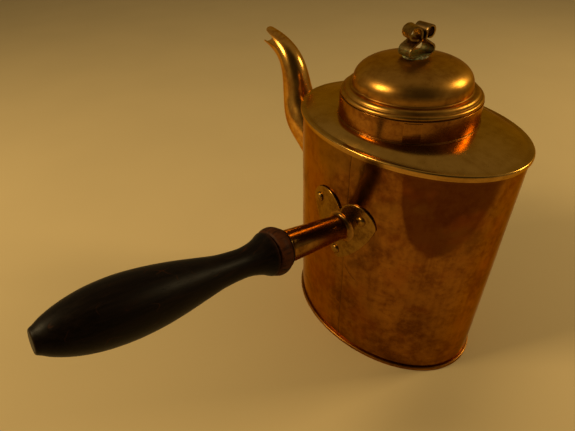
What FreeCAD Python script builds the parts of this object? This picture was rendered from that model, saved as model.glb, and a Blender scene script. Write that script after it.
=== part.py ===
import FreeCAD, Part
import math
import os
from FreeCAD import Placement, Rotation, Vector

os.makedirs("parts", exist_ok=True)

# Side-handled coffee pot of sheet brass: an oval body with a swan-neck spout, a round mouth
# with a lift-off lid, and a turned wooden grip in a riveted socket.
# Millimetres. The origin is the centre of the resting face, +Z is up, the spout points to -X
# and the handle to -Y.

# ---------------------------------------------------------------- driving dimensions
SHEET = 0.9                 # sheet of the wall, base, top, collar, lid and spout
BODY_LENGTH = 145.0         # outside of the wall along X
BODY_WIDTH = 101.8          # outside of the wall along Y
BODY_HEIGHT = 160.0         # resting face to the top of the rim

FOOT_PROUD = 1.6            # folded foot seam, outside of the wall
FOOT_HEIGHT = 2.6
FOOT_ROUND = 0.7

RIM_PROUD = 1.3             # rolled rim of the top plate, outside of the wall
RIM_HEIGHT = 2.4
RIM_ROUND = 1.0
SKIRT_PROUD = 0.45          # thin edge of the top plate turned down over the wall
SKIRT_DEPTH = 1.5
CROWN_RISE = 3.8            # how far the top plate rises from rim to collar
CROWN_STEPS = 4

COLLAR_RADIUS = 40.2        # outside of the mouth collar
COLLAR_HEIGHT = 12.8
COLLAR_FOOT_PROUD = 0.9     # soldered foot flange of the collar
COLLAR_FOOT_THICK = 0.5
COLLAR_SEAT_MARGIN = 1.0    # flat ring of the top plate outside the foot flange
COLLAR_LAP_THICK = 0.35     # lapped seam of the collar
COLLAR_LAP_START = -57.0    # degrees about +Z
COLLAR_LAP_SWEEP = 13.0

LID_GAP = 0.3               # between the collar's edge and the lid's rim on it
LID_RIM_INSET = 0.3         # the lid's rim inside the collar's outside
LID_RIM_HEIGHT = 2.05
LID_STEP_HEIGHT = 4.4       # lid seat to the foot of the dome
DOME_INSET = 6.8            # the dome inside the collar's outside
DOME_HEIGHT = 15.6
DOME_FULLNESS = 2.7         # exponent of the dome's curve, 2 is an ellipse
DOME_STEPS = 10
BEZEL_CLEARANCE = 0.5       # inner ring of the lid inside the collar
BEZEL_SHEET = 0.8
BEZEL_DEPTH = 8.0

FINIAL_STRIP = 1.0          # thickness of the scrolled strip
FINIAL_WIDTH = 9.4
FINIAL_SOLDER = 0.5
FINIAL_SOLDER_MARGIN = 1.2
FINIAL_FOOT_RADIUS = 2.8    # middle line of the strip, lower loop
FINIAL_FOOT_HALF = 5.6
FINIAL_FOOT_TURN = 60.0
FINIAL_WAIST_HALF = 0.9
FINIAL_WAIST_RADIUS = 1.2
FINIAL_SCROLL_RADIUS = 3.1
FINIAL_SCROLL_RISE = 2.9
FINIAL_SCROLL_TURN = 290.0
FINIAL_TWIST = -12.0        # the strip stands a little askew, degrees about +Z

SPOUT_ROOT_Z = 110.8        # where the spout's middle line leaves the wall
SPOUT_POLES = [             # the rest of its Bezier poles, from that point, as (X, Z)
    (-12.8, 21.1),
    (-31.8, 24.4),
    (-25.0, 45.2),
    (-18.1, 65.0),
    (-57.1, 73.1),
]
SPOUT_RADII = [12.9, 14.5, 11.1, 8.7, 5.8]   # outside, at even steps along the curve
SPOUT_STEPS = 16
SPOUT_LEAD = 28.0           # straight start inside the body, cut away at the wall
SPOUT_LEAD_STEPS = 4
SPOUT_SOLDER = 1.3
SPOUT_SOLDER_PROUD = 1.4
MOUTH_NOTCH_DEPTH = 12.3    # open beak at the tip, from a point beside the middle line
MOUTH_NOTCH_LIFT = 1.5
MOUTH_UPPER_ANGLE = 11.5    # the beak's upper and lower edges, from the middle line
MOUTH_LOWER_ANGLE = 21.0
STRAINER_HOLE_RADIUS = 1.5
STRAINER_PITCH = 5.6
STRAINER_ROWS = 5
STRAINER_COLUMNS = 3

HANDLE_ROOT_Z = 105.5       # where the handle's middle line meets the wall
HANDLE_SLOPE = 12.0         # degrees above level
PLATE_THICK = 0.9
PLATE_X = -1.5              # middle of the heart-shaped plate
PLATE_HALF = 25.2
PLATE_NOTCH_Z = 11.3        # heights from the handle's root
PLATE_LOBE_X = 13.5
PLATE_LOBE_Z = 20.8
PLATE_SHOULDER_Z = 9.0
PLATE_FLANK_X = 17.6
PLATE_FLANK_Z = -7.7
PLATE_POINT_Z = -27.2
SOCKET_LENGTH = 49.0
SOCKET_ROOT_RADIUS = 7.3
SOCKET_END_RADIUS = 9.4
SOCKET_SHEET = 0.9
SOCKET_LIP_PROUD = 0.6
SOCKET_LIP_LENGTH = 1.4
ROOT_COLLAR_PROUD = 2.2
ROOT_COLLAR_LENGTH = 2.6
SOCKET_START = -4.0         # the tube is cut to the plate from here

RIVET_HOLE_RADIUS = 1.7
RIVET_HEAD_RADIUS = 3.1
RIVET_HEAD_HEIGHT = 1.8
RIVET_TAIL_RADIUS = 2.6
RIVET_TAIL_HEIGHT = 0.9
RIVET_SPOTS = {             # X from the plate's middle, Z from the handle's root
    "rivet_upper_left": (-18.6, 11.2),
    "rivet_upper_right": (15.6, 11.6),
    "rivet_lower": (-2.0, -20.2),
}

GRIP_LENGTH = 122.8         # wood beyond the socket, its shoulder seated on the socket's end
TENON_LENGTH = 34.0
TENON_CLEARANCE = 0.15
GRIP_PROFILE = [            # distance from the socket's end, radius
    (11.2, 12.0),
    (17.0, 9.4),
    (24.0, 7.9),
    (31.0, 7.75),
    (41.0, 8.5),
    (51.0, 10.3),
    (63.0, 12.5),
    (75.0, 14.1),
    (87.0, 14.7),
    (97.0, 14.1),
    (105.0, 12.7),
    (112.0, 10.6),
    (117.5, 8.2),
    (121.2, 5.9),
]
GRIP_END_RADIUS = 5.0
BEAD_START = 1.6            # the turned bead next to the socket
BEAD_LENGTH = 8.2
BEAD_RADIUS = 13.4
BEAD_SHOULDER = 12.2
FILLET_RING_RADIUS = 11.3
GROOVE_RADIUS = 11.2
PIN_RADIUS = 1.0
PIN_HEAD_RADIUS = 1.7
PIN_HEAD_HEIGHT = 0.7
PIN_FROM_END = 9.0

# ---------------------------------------------------------------- derived sizes
HALF_LENGTH = BODY_LENGTH / 2.0
HALF_WIDTH = BODY_WIDTH / 2.0
TOP_UNDERSIDE = BODY_HEIGHT - SHEET
MOUTH_Z = BODY_HEIGHT + CROWN_RISE
MOUTH_RADIUS = COLLAR_RADIUS - SHEET
COLLAR_TOP = MOUTH_Z + COLLAR_HEIGHT
LID_SEAT = COLLAR_TOP + LID_GAP
DOME_RADIUS = COLLAR_RADIUS - DOME_INSET
DOME_FOOT = LID_SEAT + LID_STEP_HEIGHT
DOME_TOP = DOME_FOOT + DOME_HEIGHT
HANDLE_AXIS = Vector(0, -math.cos(math.radians(HANDLE_SLOPE)), math.sin(math.radians(HANDLE_SLOPE)))
HANDLE_ROOT = Vector(0, -HALF_WIDTH, HANDLE_ROOT_Z)
SPOUT_ROOT = Vector(-HALF_LENGTH, 0, SPOUT_ROOT_Z)
WALL_REACH = 3.0 * SHEET    # how far a hole tool goes past the sheet


# ---------------------------------------------------------------- shape helpers
def oval_wire(grow, z):
    """The wall's outside ellipse, grown by a constant, at height z."""
    ellipse = Part.Ellipse(Vector(0, 0, z), HALF_LENGTH + grow, HALF_WIDTH + grow)
    return Part.Wire([ellipse.toShape()])


def oval_slab(grow, z_low, z_high):
    """A solid oval slab between two heights."""
    face = Part.Face(oval_wire(grow, z_low))
    return face.extrude(Vector(0, 0, z_high - z_low))


def oval_ring(grow_out, grow_in, z_low, z_high):
    """An oval band between two offsets of the wall."""
    return oval_slab(grow_out, z_low, z_high).cut(oval_slab(grow_in, z_low, z_high))


def disc(radius, z_low, z_high):
    """A round slab on the Z axis."""
    return Part.makeCylinder(radius, z_high - z_low, Vector(0, 0, z_low))


def ring(radius_out, radius_in, z_low, z_high):
    """A round band on the Z axis."""
    return disc(radius_out, z_low, z_high).cut(disc(radius_in, z_low, z_high))


def line(start, end):
    """A straight edge between two (r, z) points of the XZ plane."""
    return Part.makeLine(Vector(start[0], 0, start[1]), Vector(end[0], 0, end[1]))


def arc(start, middle, end):
    """An arc through three (r, z) points of the XZ plane."""
    points = [Vector(p[0], 0, p[1]) for p in (start, middle, end)]
    return Part.Arc(*points).toShape()


def spline(points):
    """A smooth edge through (r, z) points of the XZ plane."""
    curve = Part.BSplineCurve()
    curve.interpolate([Vector(r, 0, z) for r, z in points])
    return curve.toShape()


def turned(edges):
    """The solid that a closed outline in the XZ plane makes about the Z axis."""
    face = Part.Face(Part.Wire(Part.__sortEdges__(edges)))
    return face.revolve(Vector(0, 0, 0), Vector(0, 0, 1), 360)


def along_handle(shape):
    """Move a shape made about +Z onto the handle's axis, its z = 0 at the handle's root."""
    moved = shape.copy()
    moved.Placement = Placement(HANDLE_ROOT, Rotation(Vector(0, 0, 1), HANDLE_AXIS)).multiply(moved.Placement)
    return moved


def edges_at(shape, z_values):
    """The edges of a shape that lie level at one of the given heights."""
    found = []
    for edge in shape.Edges:
        box = edge.BoundBox
        level = box.ZLength < 0.001
        if level and any(abs(box.ZMin - z) < 0.001 for z in z_values):
            found.append(edge)
    return found


def rounded_slab(grow, z_low, z_high, radius, z_values):
    """An oval slab with the edges at the given heights rounded."""
    slab = oval_slab(grow, z_low, z_high)
    return slab.makeFillet(radius, edges_at(slab, z_values))


def export(name, shape):
    """Write one piece."""
    shape.exportStep("parts/" + name + ".step")


# ---------------------------------------------------------------- body
def make_base_plate():
    """The base sheet with its edge folded up round the foot of the wall."""
    pan = rounded_slab(FOOT_PROUD, 0, FOOT_HEIGHT, FOOT_ROUND, (0, FOOT_HEIGHT))
    return pan.cut(oval_slab(0, SHEET, FOOT_HEIGHT + 1))


def make_body_wall(hole_tools):
    """The oval wall, standing on the base sheet under the top plate, with its holes."""
    wall = oval_ring(0, -SHEET, SHEET, TOP_UNDERSIDE)
    for tool in hole_tools:
        wall = wall.cut(tool)
    return wall


def crown_solid(drop):
    """The crowned shape from the wall's inside to the flat seat of the collar."""
    seat_radius = COLLAR_RADIUS + COLLAR_FOOT_PROUD + COLLAR_SEAT_MARGIN
    wires = []
    for step in range(CROWN_STEPS + 1):
        share = step / CROWN_STEPS
        half_x = HALF_LENGTH - 2 * SHEET + share * (seat_radius - HALF_LENGTH + 2 * SHEET)
        half_y = HALF_WIDTH - 2 * SHEET + share * (seat_radius - HALF_WIDTH + 2 * SHEET)
        z = BODY_HEIGHT + CROWN_RISE * math.sin(share * math.pi / 2) - drop
        ellipse = Part.Ellipse(Vector(0, 0, z), half_x, half_y - 0.001)
        wires.append(Part.Wire([ellipse.toShape()]))
    return Part.makeLoft(wires, True, False)


def make_top_plate():
    """The crowned top sheet with its rolled rim, its thin skirt and the round mouth."""
    rim_bottom = BODY_HEIGHT - RIM_HEIGHT
    rim = rounded_slab(RIM_PROUD, rim_bottom, BODY_HEIGHT, RIM_ROUND, (rim_bottom, BODY_HEIGHT))
    rim = rim.cut(oval_slab(0, rim_bottom - 1, TOP_UNDERSIDE))
    skirt = oval_ring(SKIRT_PROUD, 0, rim_bottom - SKIRT_DEPTH, rim_bottom)
    plate = rim.fuse(skirt)
    plate = plate.fuse(crown_solid(0))
    plate = plate.cut(crown_solid(SHEET))
    plate = plate.cut(oval_slab(-2 * SHEET, rim_bottom - 1, TOP_UNDERSIDE))
    return plate.cut(disc(MOUTH_RADIUS, 0, COLLAR_TOP)).removeSplitter()


def make_collar():
    """The mouth collar: an upright band with a foot flange and a lapped seam."""
    foot_radius = COLLAR_RADIUS + COLLAR_FOOT_PROUD
    foot_top = MOUTH_Z + COLLAR_FOOT_THICK
    bend = COLLAR_FOOT_THICK
    outline = [
        line((MOUTH_RADIUS, MOUTH_Z), (foot_radius, MOUTH_Z)),
        line((foot_radius, MOUTH_Z), (foot_radius, foot_top - bend / 2)),
        line((foot_radius, foot_top - bend / 2), (foot_radius - bend / 2, foot_top)),
        line((foot_radius - bend / 2, foot_top), (COLLAR_RADIUS + bend, foot_top)),
        line((COLLAR_RADIUS + bend, foot_top), (COLLAR_RADIUS, foot_top + bend)),
        line((COLLAR_RADIUS, foot_top + bend), (COLLAR_RADIUS, COLLAR_TOP)),
        line((COLLAR_RADIUS, COLLAR_TOP), (MOUTH_RADIUS, COLLAR_TOP)),
        line((MOUTH_RADIUS, COLLAR_TOP), (MOUTH_RADIUS, MOUTH_Z)),
    ]
    band = turned(outline)
    lap_face = Part.makePolygon([
        Vector(COLLAR_RADIUS - SHEET / 2, 0, foot_top + bend),
        Vector(COLLAR_RADIUS + COLLAR_LAP_THICK, 0, foot_top + bend),
        Vector(COLLAR_RADIUS + COLLAR_LAP_THICK, 0, COLLAR_TOP - SHEET),
        Vector(COLLAR_RADIUS - SHEET / 2, 0, COLLAR_TOP - SHEET),
        Vector(COLLAR_RADIUS - SHEET / 2, 0, foot_top + bend),
    ])
    lap = Part.Face(lap_face).revolve(Vector(0, 0, 0), Vector(0, 0, 1), COLLAR_LAP_SWEEP)
    lap.rotate(Vector(0, 0, 0), Vector(0, 0, 1), COLLAR_LAP_START)
    return band.fuse(lap).removeSplitter()


# ---------------------------------------------------------------- lid
def dome_points(radius, height):
    """Points down the dome's full curve, from its top to its foot."""
    points = []
    power = 2.0 / DOME_FULLNESS
    for step in range(DOME_STEPS + 1):
        angle = math.pi / 2 * (1 - step / DOME_STEPS)
        r = radius * max(math.cos(angle), 0.0) ** power
        z = DOME_FOOT + height * math.sin(angle) ** power
        points.append((r, z))
    points[0] = (0.0, DOME_FOOT + height)
    points[-1] = (radius, DOME_FOOT)
    return points


def make_lid_cover():
    """The domed lid with two stepped mouldings and a rolled rim."""
    rim_out = COLLAR_RADIUS - LID_RIM_INSET
    rim_top = LID_SEAT + LID_RIM_HEIGHT
    step_out = DOME_RADIUS + (rim_out - DOME_RADIUS) * 0.69
    step_low = rim_top + 0.35
    ledge = DOME_FOOT - 0.3
    ledge_out = DOME_RADIUS + 1.4
    outer = dome_points(DOME_RADIUS, DOME_HEIGHT)
    inner = dome_points(DOME_RADIUS - SHEET, DOME_HEIGHT - SHEET)
    seat_in = MOUTH_RADIUS - BEZEL_CLEARANCE - BEZEL_SHEET
    cove = (seat_in - SHEET, step_low - SHEET)
    hollow = (ledge_out - SHEET, ledge - SHEET)
    outline = [
        spline(outer),
        line(outer[-1], (ledge_out, ledge)),
        arc((ledge_out, ledge), (step_out - 0.9, ledge - 0.45), (step_out, step_low)),
        line((step_out, step_low), (rim_out - 1.4, rim_top)),
        arc((rim_out - 1.4, rim_top), (rim_out - 0.25, rim_top - 0.7), (rim_out - 0.15, LID_SEAT)),
        line((rim_out - 0.15, LID_SEAT), (seat_in, LID_SEAT)),
        line((seat_in, LID_SEAT), cove),
        line(cove, hollow),
        line(hollow, inner[-1]),
        spline(inner),
        line(inner[0], outer[0]),
    ]
    return turned(outline)


def make_lid_bezel():
    """The ring under the lid that drops inside the collar."""
    out = MOUTH_RADIUS - BEZEL_CLEARANCE
    return ring(out, out - BEZEL_SHEET, COLLAR_TOP - BEZEL_DEPTH, LID_SEAT)


def strip_arc(centre_y, centre_z, radius, start, end):
    """One bent stretch of the finial's strip, angles in degrees in the YZ plane."""
    half = FINIAL_STRIP / 2
    low, high = min(start, end), max(start, end)
    edges = []
    corners = []
    for r in (radius + half, radius - half):
        points = []
        for angle in (low, (low + high) / 2, high):
            a = math.radians(angle)
            points.append(Vector(-FINIAL_WIDTH / 2, centre_y + r * math.cos(a), centre_z + r * math.sin(a)))
        edges.append(Part.Arc(*points).toShape())
        corners.append(points)
    edges.append(Part.makeLine(corners[0][0], corners[1][0]))
    edges.append(Part.makeLine(corners[0][2], corners[1][2]))
    face = Part.Face(Part.Wire(Part.__sortEdges__(edges)))
    return face.extrude(Vector(FINIAL_WIDTH, 0, 0))


def strip_run(start, end):
    """One straight stretch of the finial's strip between (y, z) points."""
    dy = end[0] - start[0]
    dz = end[1] - start[1]
    length = math.hypot(dy, dz)
    box = Part.makeBox(FINIAL_WIDTH, length, FINIAL_STRIP, Vector(-FINIAL_WIDTH / 2, 0, -FINIAL_STRIP / 2))
    box.rotate(Vector(0, 0, 0), Vector(1, 0, 0), math.degrees(math.atan2(dz, dy)))
    box.translate(Vector(0, start[0], start[1]))
    return box


def make_finial_scroll():
    """One strip bent to a bell-shaped loop, a waist and two outward scrolls."""
    bottom = DOME_TOP + FINIAL_SOLDER + FINIAL_STRIP / 2
    turn = math.radians(FINIAL_FOOT_TURN)
    foot_centre_z = bottom + FINIAL_FOOT_RADIUS
    shoulder_y = FINIAL_FOOT_HALF + FINIAL_FOOT_RADIUS * math.cos(turn)
    shoulder_z = foot_centre_z + FINIAL_FOOT_RADIUS * math.sin(turn)
    neck_centre_y = FINIAL_WAIST_HALF + FINIAL_WAIST_RADIUS
    neck_y = neck_centre_y - FINIAL_WAIST_RADIUS * math.cos(turn)
    rise = (shoulder_y - neck_y) / math.tan(turn)
    neck_z = shoulder_z + rise
    waist_z = neck_z + FINIAL_WAIST_RADIUS * math.sin(turn)
    scroll_z = waist_z + FINIAL_SCROLL_RISE
    scroll_y = FINIAL_WAIST_HALF + FINIAL_SCROLL_RADIUS
    half = strip_arc(FINIAL_FOOT_HALF, foot_centre_z, FINIAL_FOOT_RADIUS, -90, FINIAL_FOOT_TURN)
    pieces = [
        strip_run((shoulder_y, shoulder_z), (neck_y, neck_z)),
        strip_arc(neck_centre_y, waist_z, FINIAL_WAIST_RADIUS, 180, 180 + FINIAL_FOOT_TURN),
        strip_run((FINIAL_WAIST_HALF, waist_z), (FINIAL_WAIST_HALF, scroll_z)),
        strip_arc(scroll_y, scroll_z, FINIAL_SCROLL_RADIUS, 180 - FINIAL_SCROLL_TURN, 180),
    ]
    for piece in pieces:
        half = half.fuse(piece)
    other = half.mirror(Vector(0, 0, 0), Vector(0, 1, 0))
    foot = strip_run((-FINIAL_FOOT_HALF, bottom), (FINIAL_FOOT_HALF, bottom))
    scroll = half.fuse(foot).fuse(other).removeSplitter()
    scroll.rotate(Vector(0, 0, 0), Vector(0, 0, 1), FINIAL_TWIST)
    return scroll


def make_finial_solder(cover):
    """The solder between the dome and the finial's foot."""
    half_x = FINIAL_WIDTH / 2 + FINIAL_SOLDER_MARGIN
    half_y = FINIAL_FOOT_HALF + FINIAL_SOLDER_MARGIN
    ellipse = Part.Ellipse(Vector(0, 0, DOME_TOP - SHEET / 2), half_y, half_x)
    pad = Part.Face(Part.Wire([ellipse.toShape()])).extrude(Vector(0, 0, SHEET / 2 + FINIAL_SOLDER))
    pad.rotate(Vector(0, 0, 0), Vector(0, 0, 1), 90 + FINIAL_TWIST)
    top_edges = edges_at(pad, (DOME_TOP + FINIAL_SOLDER,))
    pad = pad.makeChamfer(FINIAL_SOLDER * 0.8, top_edges)
    return largest(pad.cut(cover))


# ---------------------------------------------------------------- spout
def spout_curve():
    """The middle line of the spout."""
    poles = [SPOUT_ROOT]
    for x, z in SPOUT_POLES:
        poles.append(SPOUT_ROOT + Vector(x, 0, z))
    curve = Part.BezierCurve()
    curve.setPoles(poles)
    return curve


def spout_radius(share):
    """The outside radius at a share of the way along the curve, smooth through the given radii."""
    shares = [step / (len(SPOUT_RADII) - 1) for step in range(len(SPOUT_RADII))]
    curve = Part.BSplineCurve()
    curve.interpolate(Points=[Vector(radius, 0, 0) for radius in SPOUT_RADII], Parameters=shares)
    return curve.value(share).x


def spout_solid(grow):
    """The spout's outside shape, grown by a constant, with a straight start into the body."""
    curve = spout_curve()
    wires = []
    places = []
    start_tangent = curve.tangent(0)[0]
    for step in range(SPOUT_LEAD_STEPS):
        back = SPOUT_LEAD * (1 - step / SPOUT_LEAD_STEPS)
        places.append((SPOUT_ROOT - start_tangent * back, start_tangent, SPOUT_RADII[0]))
    for step in range(SPOUT_STEPS + 1):
        share = step / SPOUT_STEPS
        places.append((curve.value(share), curve.tangent(share)[0], spout_radius(share)))
    for centre, tangent, radius in places:
        circle = Part.Wire([Part.makeCircle(radius + grow)])
        angle = math.degrees(math.atan2(tangent.x, tangent.z))
        circle.Placement = Placement(centre, Rotation(Vector(0, 1, 0), angle))
        wires.append(circle)
    return Part.makeLoft(wires, True, False)


def mouth_notch():
    """The wedge that opens the beak at the spout's tip."""
    curve = spout_curve()
    direction = curve.tangent(1.0)[0]
    up = Vector(direction.z, 0, -direction.x)
    apex = curve.value(1.0) - direction * MOUTH_NOTCH_DEPTH + up * MOUTH_NOTCH_LIFT
    reach = 2.0 * MOUTH_NOTCH_DEPTH
    rise = math.tan(math.radians(MOUTH_UPPER_ANGLE)) * reach
    drop = math.tan(math.radians(MOUTH_LOWER_ANGLE)) * reach
    width = 4.0 * SPOUT_RADII[-1]
    corners = [apex, apex + direction * reach + up * rise, apex + direction * reach - up * drop, apex]
    face = Part.Face(Part.makePolygon(corners))
    wedge = face.extrude(Vector(0, width, 0))
    wedge.translate(Vector(0, -width / 2, 0))
    return wedge


def make_spout(body_block):
    """The hollow swan neck, cut to the wall, with an open beak."""
    spout = spout_solid(0).cut(body_block)
    spout = spout.cut(spout_solid(-SHEET))
    return largest(spout.cut(mouth_notch()))


def make_spout_solder(body_block):
    """The solder fillet where the spout meets the wall."""
    band = oval_slab(SPOUT_SOLDER_PROUD, 0, BODY_HEIGHT).cut(body_block)
    fillet = band.common(spout_solid(SPOUT_SOLDER))
    return largest(fillet.cut(spout_solid(0)))


def largest(shape):
    """The largest solid of a cut shape."""
    return max(shape.Solids, key=lambda solid: solid.Volume)


def strainer_tools():
    """Drills for the straining holes through the wall behind the spout."""
    tools = []
    depth = HALF_LENGTH / 2
    for row in range(-STRAINER_ROWS, STRAINER_ROWS + 1):
        shift = 0.5 * (row % 2)
        for column in range(-STRAINER_COLUMNS, STRAINER_COLUMNS + 1):
            y = (column + shift) * STRAINER_PITCH
            z = row * STRAINER_PITCH * math.sqrt(3) / 2
            slant = math.sin(math.atan2(abs(SPOUT_POLES[0][0]), SPOUT_POLES[0][1]))
            room_y = SPOUT_RADII[0] - 2 * SHEET - 2 * STRAINER_HOLE_RADIUS
            room_z = room_y / slant
            if (y / room_y) ** 2 + (z / room_z) ** 2 > 1:
                continue
            base = Vector(-HALF_LENGTH - WALL_REACH, y, SPOUT_ROOT_Z + z)
            tools.append(Part.makeCylinder(STRAINER_HOLE_RADIUS, depth, base, Vector(1, 0, 0)))
    return tools


# ---------------------------------------------------------------- handle
def make_handle_plate():
    """The heart-shaped plate bent to the wall, before its holes."""
    z0 = HANDLE_ROOT_Z

    def flank(side):
        notch = Vector(PLATE_X, 0, z0 + PLATE_NOTCH_Z)
        lobe = Vector(PLATE_X + side * PLATE_LOBE_X, 0, z0 + PLATE_LOBE_Z)
        shoulder = Vector(PLATE_X + side * PLATE_HALF, 0, z0 + PLATE_SHOULDER_Z)
        middle = Vector(PLATE_X + side * PLATE_FLANK_X, 0, z0 + PLATE_FLANK_Z)
        point = Vector(PLATE_X, 0, z0 + PLATE_POINT_Z)
        return [Part.Arc(notch, lobe, shoulder).toShape(), Part.Arc(shoulder, middle, point).toShape()]

    outline = Part.Wire(Part.__sortEdges__(flank(1) + flank(-1)))
    prism = Part.Face(outline).extrude(Vector(0, -BODY_WIDTH, 0))
    band = oval_ring(PLATE_THICK, 0, 0, BODY_HEIGHT)
    return prism.common(band)


def rivet_frame(x):
    """The point on the wall's outside at X on the handle side, and the outward normal there."""
    y = -HALF_WIDTH * math.sqrt(1 - (x / HALF_LENGTH) ** 2)
    normal = Vector(x / HALF_LENGTH ** 2, y / HALF_WIDTH ** 2, 0)
    normal.normalize()
    return Vector(x, y, 0), normal


def rivet_place(spot):
    """Where a rivet stands on the wall, its local +Z outward."""
    point, normal = rivet_frame(PLATE_X + spot[0])
    return Placement(point + Vector(0, 0, HANDLE_ROOT_Z + spot[1]), Rotation(Vector(0, 0, 1), normal))


def rivet_drill(spot):
    """The drill for a rivet's hole through plate and wall."""
    drill = Part.makeCylinder(RIVET_HOLE_RADIUS, 2 * WALL_REACH, Vector(0, 0, -WALL_REACH))
    drill.Placement = rivet_place(spot).multiply(drill.Placement)
    return drill


def make_rivet(spot, plate_block):
    """One rivet: its shank through plate and wall, its domed head outside, its tail spread inside."""
    bury = SHEET / 3
    sphere = (RIVET_HEAD_RADIUS ** 2 + RIVET_HEAD_HEIGHT ** 2) / (2 * RIVET_HEAD_HEIGHT)
    ball = Part.makeSphere(sphere, Vector(0, 0, PLATE_THICK + RIVET_HEAD_HEIGHT - sphere))
    seat = Part.makeCylinder(RIVET_HEAD_RADIUS, 2 * RIVET_HEAD_HEIGHT, Vector(0, 0, PLATE_THICK - bury))
    head = ball.common(seat)
    tail_low = -SHEET - RIVET_TAIL_HEIGHT
    tail = Part.makeCylinder(RIVET_TAIL_RADIUS, RIVET_TAIL_HEIGHT + bury, Vector(0, 0, tail_low))
    tail = tail.makeFillet(RIVET_TAIL_HEIGHT / 3, edges_at(tail, (tail_low,)))
    shank_low = tail_low + RIVET_TAIL_HEIGHT / 3
    shank_high = PLATE_THICK + RIVET_HEAD_HEIGHT / 3
    shank = Part.makeCylinder(RIVET_HOLE_RADIUS, shank_high - shank_low, Vector(0, 0, shank_low))
    place = rivet_place(spot)
    for shape in (head, tail, shank):
        shape.Placement = place.multiply(shape.Placement)
    head = head.cut(plate_block)
    tail = tail.common(oval_slab(-SHEET, 0, BODY_HEIGHT))
    return shank.fuse(head).fuse(tail)


def socket_radius(along):
    """The socket's outside radius at a distance from the handle's root."""
    return SOCKET_ROOT_RADIUS + (SOCKET_END_RADIUS - SOCKET_ROOT_RADIUS) * along / SOCKET_LENGTH


def socket_cone(grow, start, end):
    """A solid cone with the socket's taper, grown by a constant, about +Z."""
    return Part.makeCone(
        socket_radius(start) + grow, socket_radius(end) + grow, end - start, Vector(0, 0, start)
    )


def make_handle_socket(plate_block, drill):
    """The tapered socket tube with a small rolled lip at its outer end."""
    tube = socket_cone(0, SOCKET_START, SOCKET_LENGTH)
    lip_low = SOCKET_LENGTH - SOCKET_LIP_LENGTH
    lip = Part.makeCylinder(SOCKET_END_RADIUS + SOCKET_LIP_PROUD, SOCKET_LIP_LENGTH, Vector(0, 0, lip_low))
    lip = lip.makeFillet(SOCKET_LIP_PROUD * 0.9, edges_at(lip, (lip_low, SOCKET_LENGTH)))
    tube = tube.fuse(lip).cut(socket_cone(-SOCKET_SHEET, SOCKET_START, SOCKET_LENGTH))
    return largest(along_handle(tube).cut(plate_block).cut(drill))


def make_root_collar(plate_block):
    """The brazed ring where the socket meets the plate."""
    low = SOCKET_START
    high = ROOT_COLLAR_LENGTH
    ring_solid = Part.makeCone(
        socket_radius(low) + ROOT_COLLAR_PROUD + 1.0, socket_radius(high) + 0.4, high - low, Vector(0, 0, low)
    )
    ring_solid = ring_solid.cut(socket_cone(0, low, high))
    return largest(along_handle(ring_solid).cut(plate_block))


def make_wooden_handle(drill):
    """The turned grip with its tenon, bead, neck and swell."""
    end = SOCKET_LENGTH
    tenon_start = SOCKET_LENGTH - TENON_LENGTH
    inside = -SOCKET_SHEET - TENON_CLEARANCE
    tenon = socket_cone(inside, tenon_start, end)
    bead_end = BEAD_START + BEAD_LENGTH
    first = GRIP_PROFILE[0]
    outline = [
        line((0, end), (FILLET_RING_RADIUS, end)),
        line((FILLET_RING_RADIUS, end), (FILLET_RING_RADIUS, end + BEAD_START * 0.6)),
        line((FILLET_RING_RADIUS, end + BEAD_START * 0.6), (GROOVE_RADIUS - 0.4, end + BEAD_START)),
        line((GROOVE_RADIUS - 0.4, end + BEAD_START), (BEAD_SHOULDER, end + BEAD_START + 0.3)),
        arc(
            (BEAD_SHOULDER, end + BEAD_START + 0.3),
            (BEAD_RADIUS, end + BEAD_START + BEAD_LENGTH / 2),
            (BEAD_SHOULDER, end + bead_end - 0.3),
        ),
        line((BEAD_SHOULDER, end + bead_end - 0.3), (GROOVE_RADIUS, end + bead_end)),
        line((GROOVE_RADIUS, end + bead_end), (first[1], end + first[0])),
        spline([(radius, end + along) for along, radius in GRIP_PROFILE]),
        line((GRIP_PROFILE[-1][1], end + GRIP_PROFILE[-1][0]), (GRIP_END_RADIUS, end + GRIP_LENGTH)),
        line((GRIP_END_RADIUS, end + GRIP_LENGTH), (0, end + GRIP_LENGTH)),
        line((0, end + GRIP_LENGTH), (0, end)),
    ]
    grip = turned(outline).fuse(tenon).removeSplitter()
    return along_handle(grip).cut(drill)


def pin_blank():
    """The pin up through the socket's underside into the tenon, and the drill for its hole."""
    along = SOCKET_LENGTH - PIN_FROM_END
    out = socket_radius(along)
    length = out + PIN_HEAD_HEIGHT
    body = Part.makeCylinder(PIN_RADIUS, length, Vector(0, 0, 0))
    sphere = (PIN_HEAD_RADIUS ** 2 + PIN_HEAD_HEIGHT ** 2) / (2 * PIN_HEAD_HEIGHT)
    ball = Part.makeSphere(sphere, Vector(0, 0, length - sphere + 0.1))
    seat = Part.makeCylinder(PIN_HEAD_RADIUS, 2 * PIN_HEAD_HEIGHT, Vector(0, 0, out - 0.2))
    pin = body.fuse(ball.common(seat))
    drill = Part.makeCylinder(PIN_RADIUS, out + 2, Vector(0, 0, 0))
    for shape in (pin, drill):
        shape.rotate(Vector(0, 0, 0), Vector(1, 0, 0), 90)
        shape.translate(Vector(0, 0, along))
    return along_handle(pin), along_handle(drill)


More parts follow.
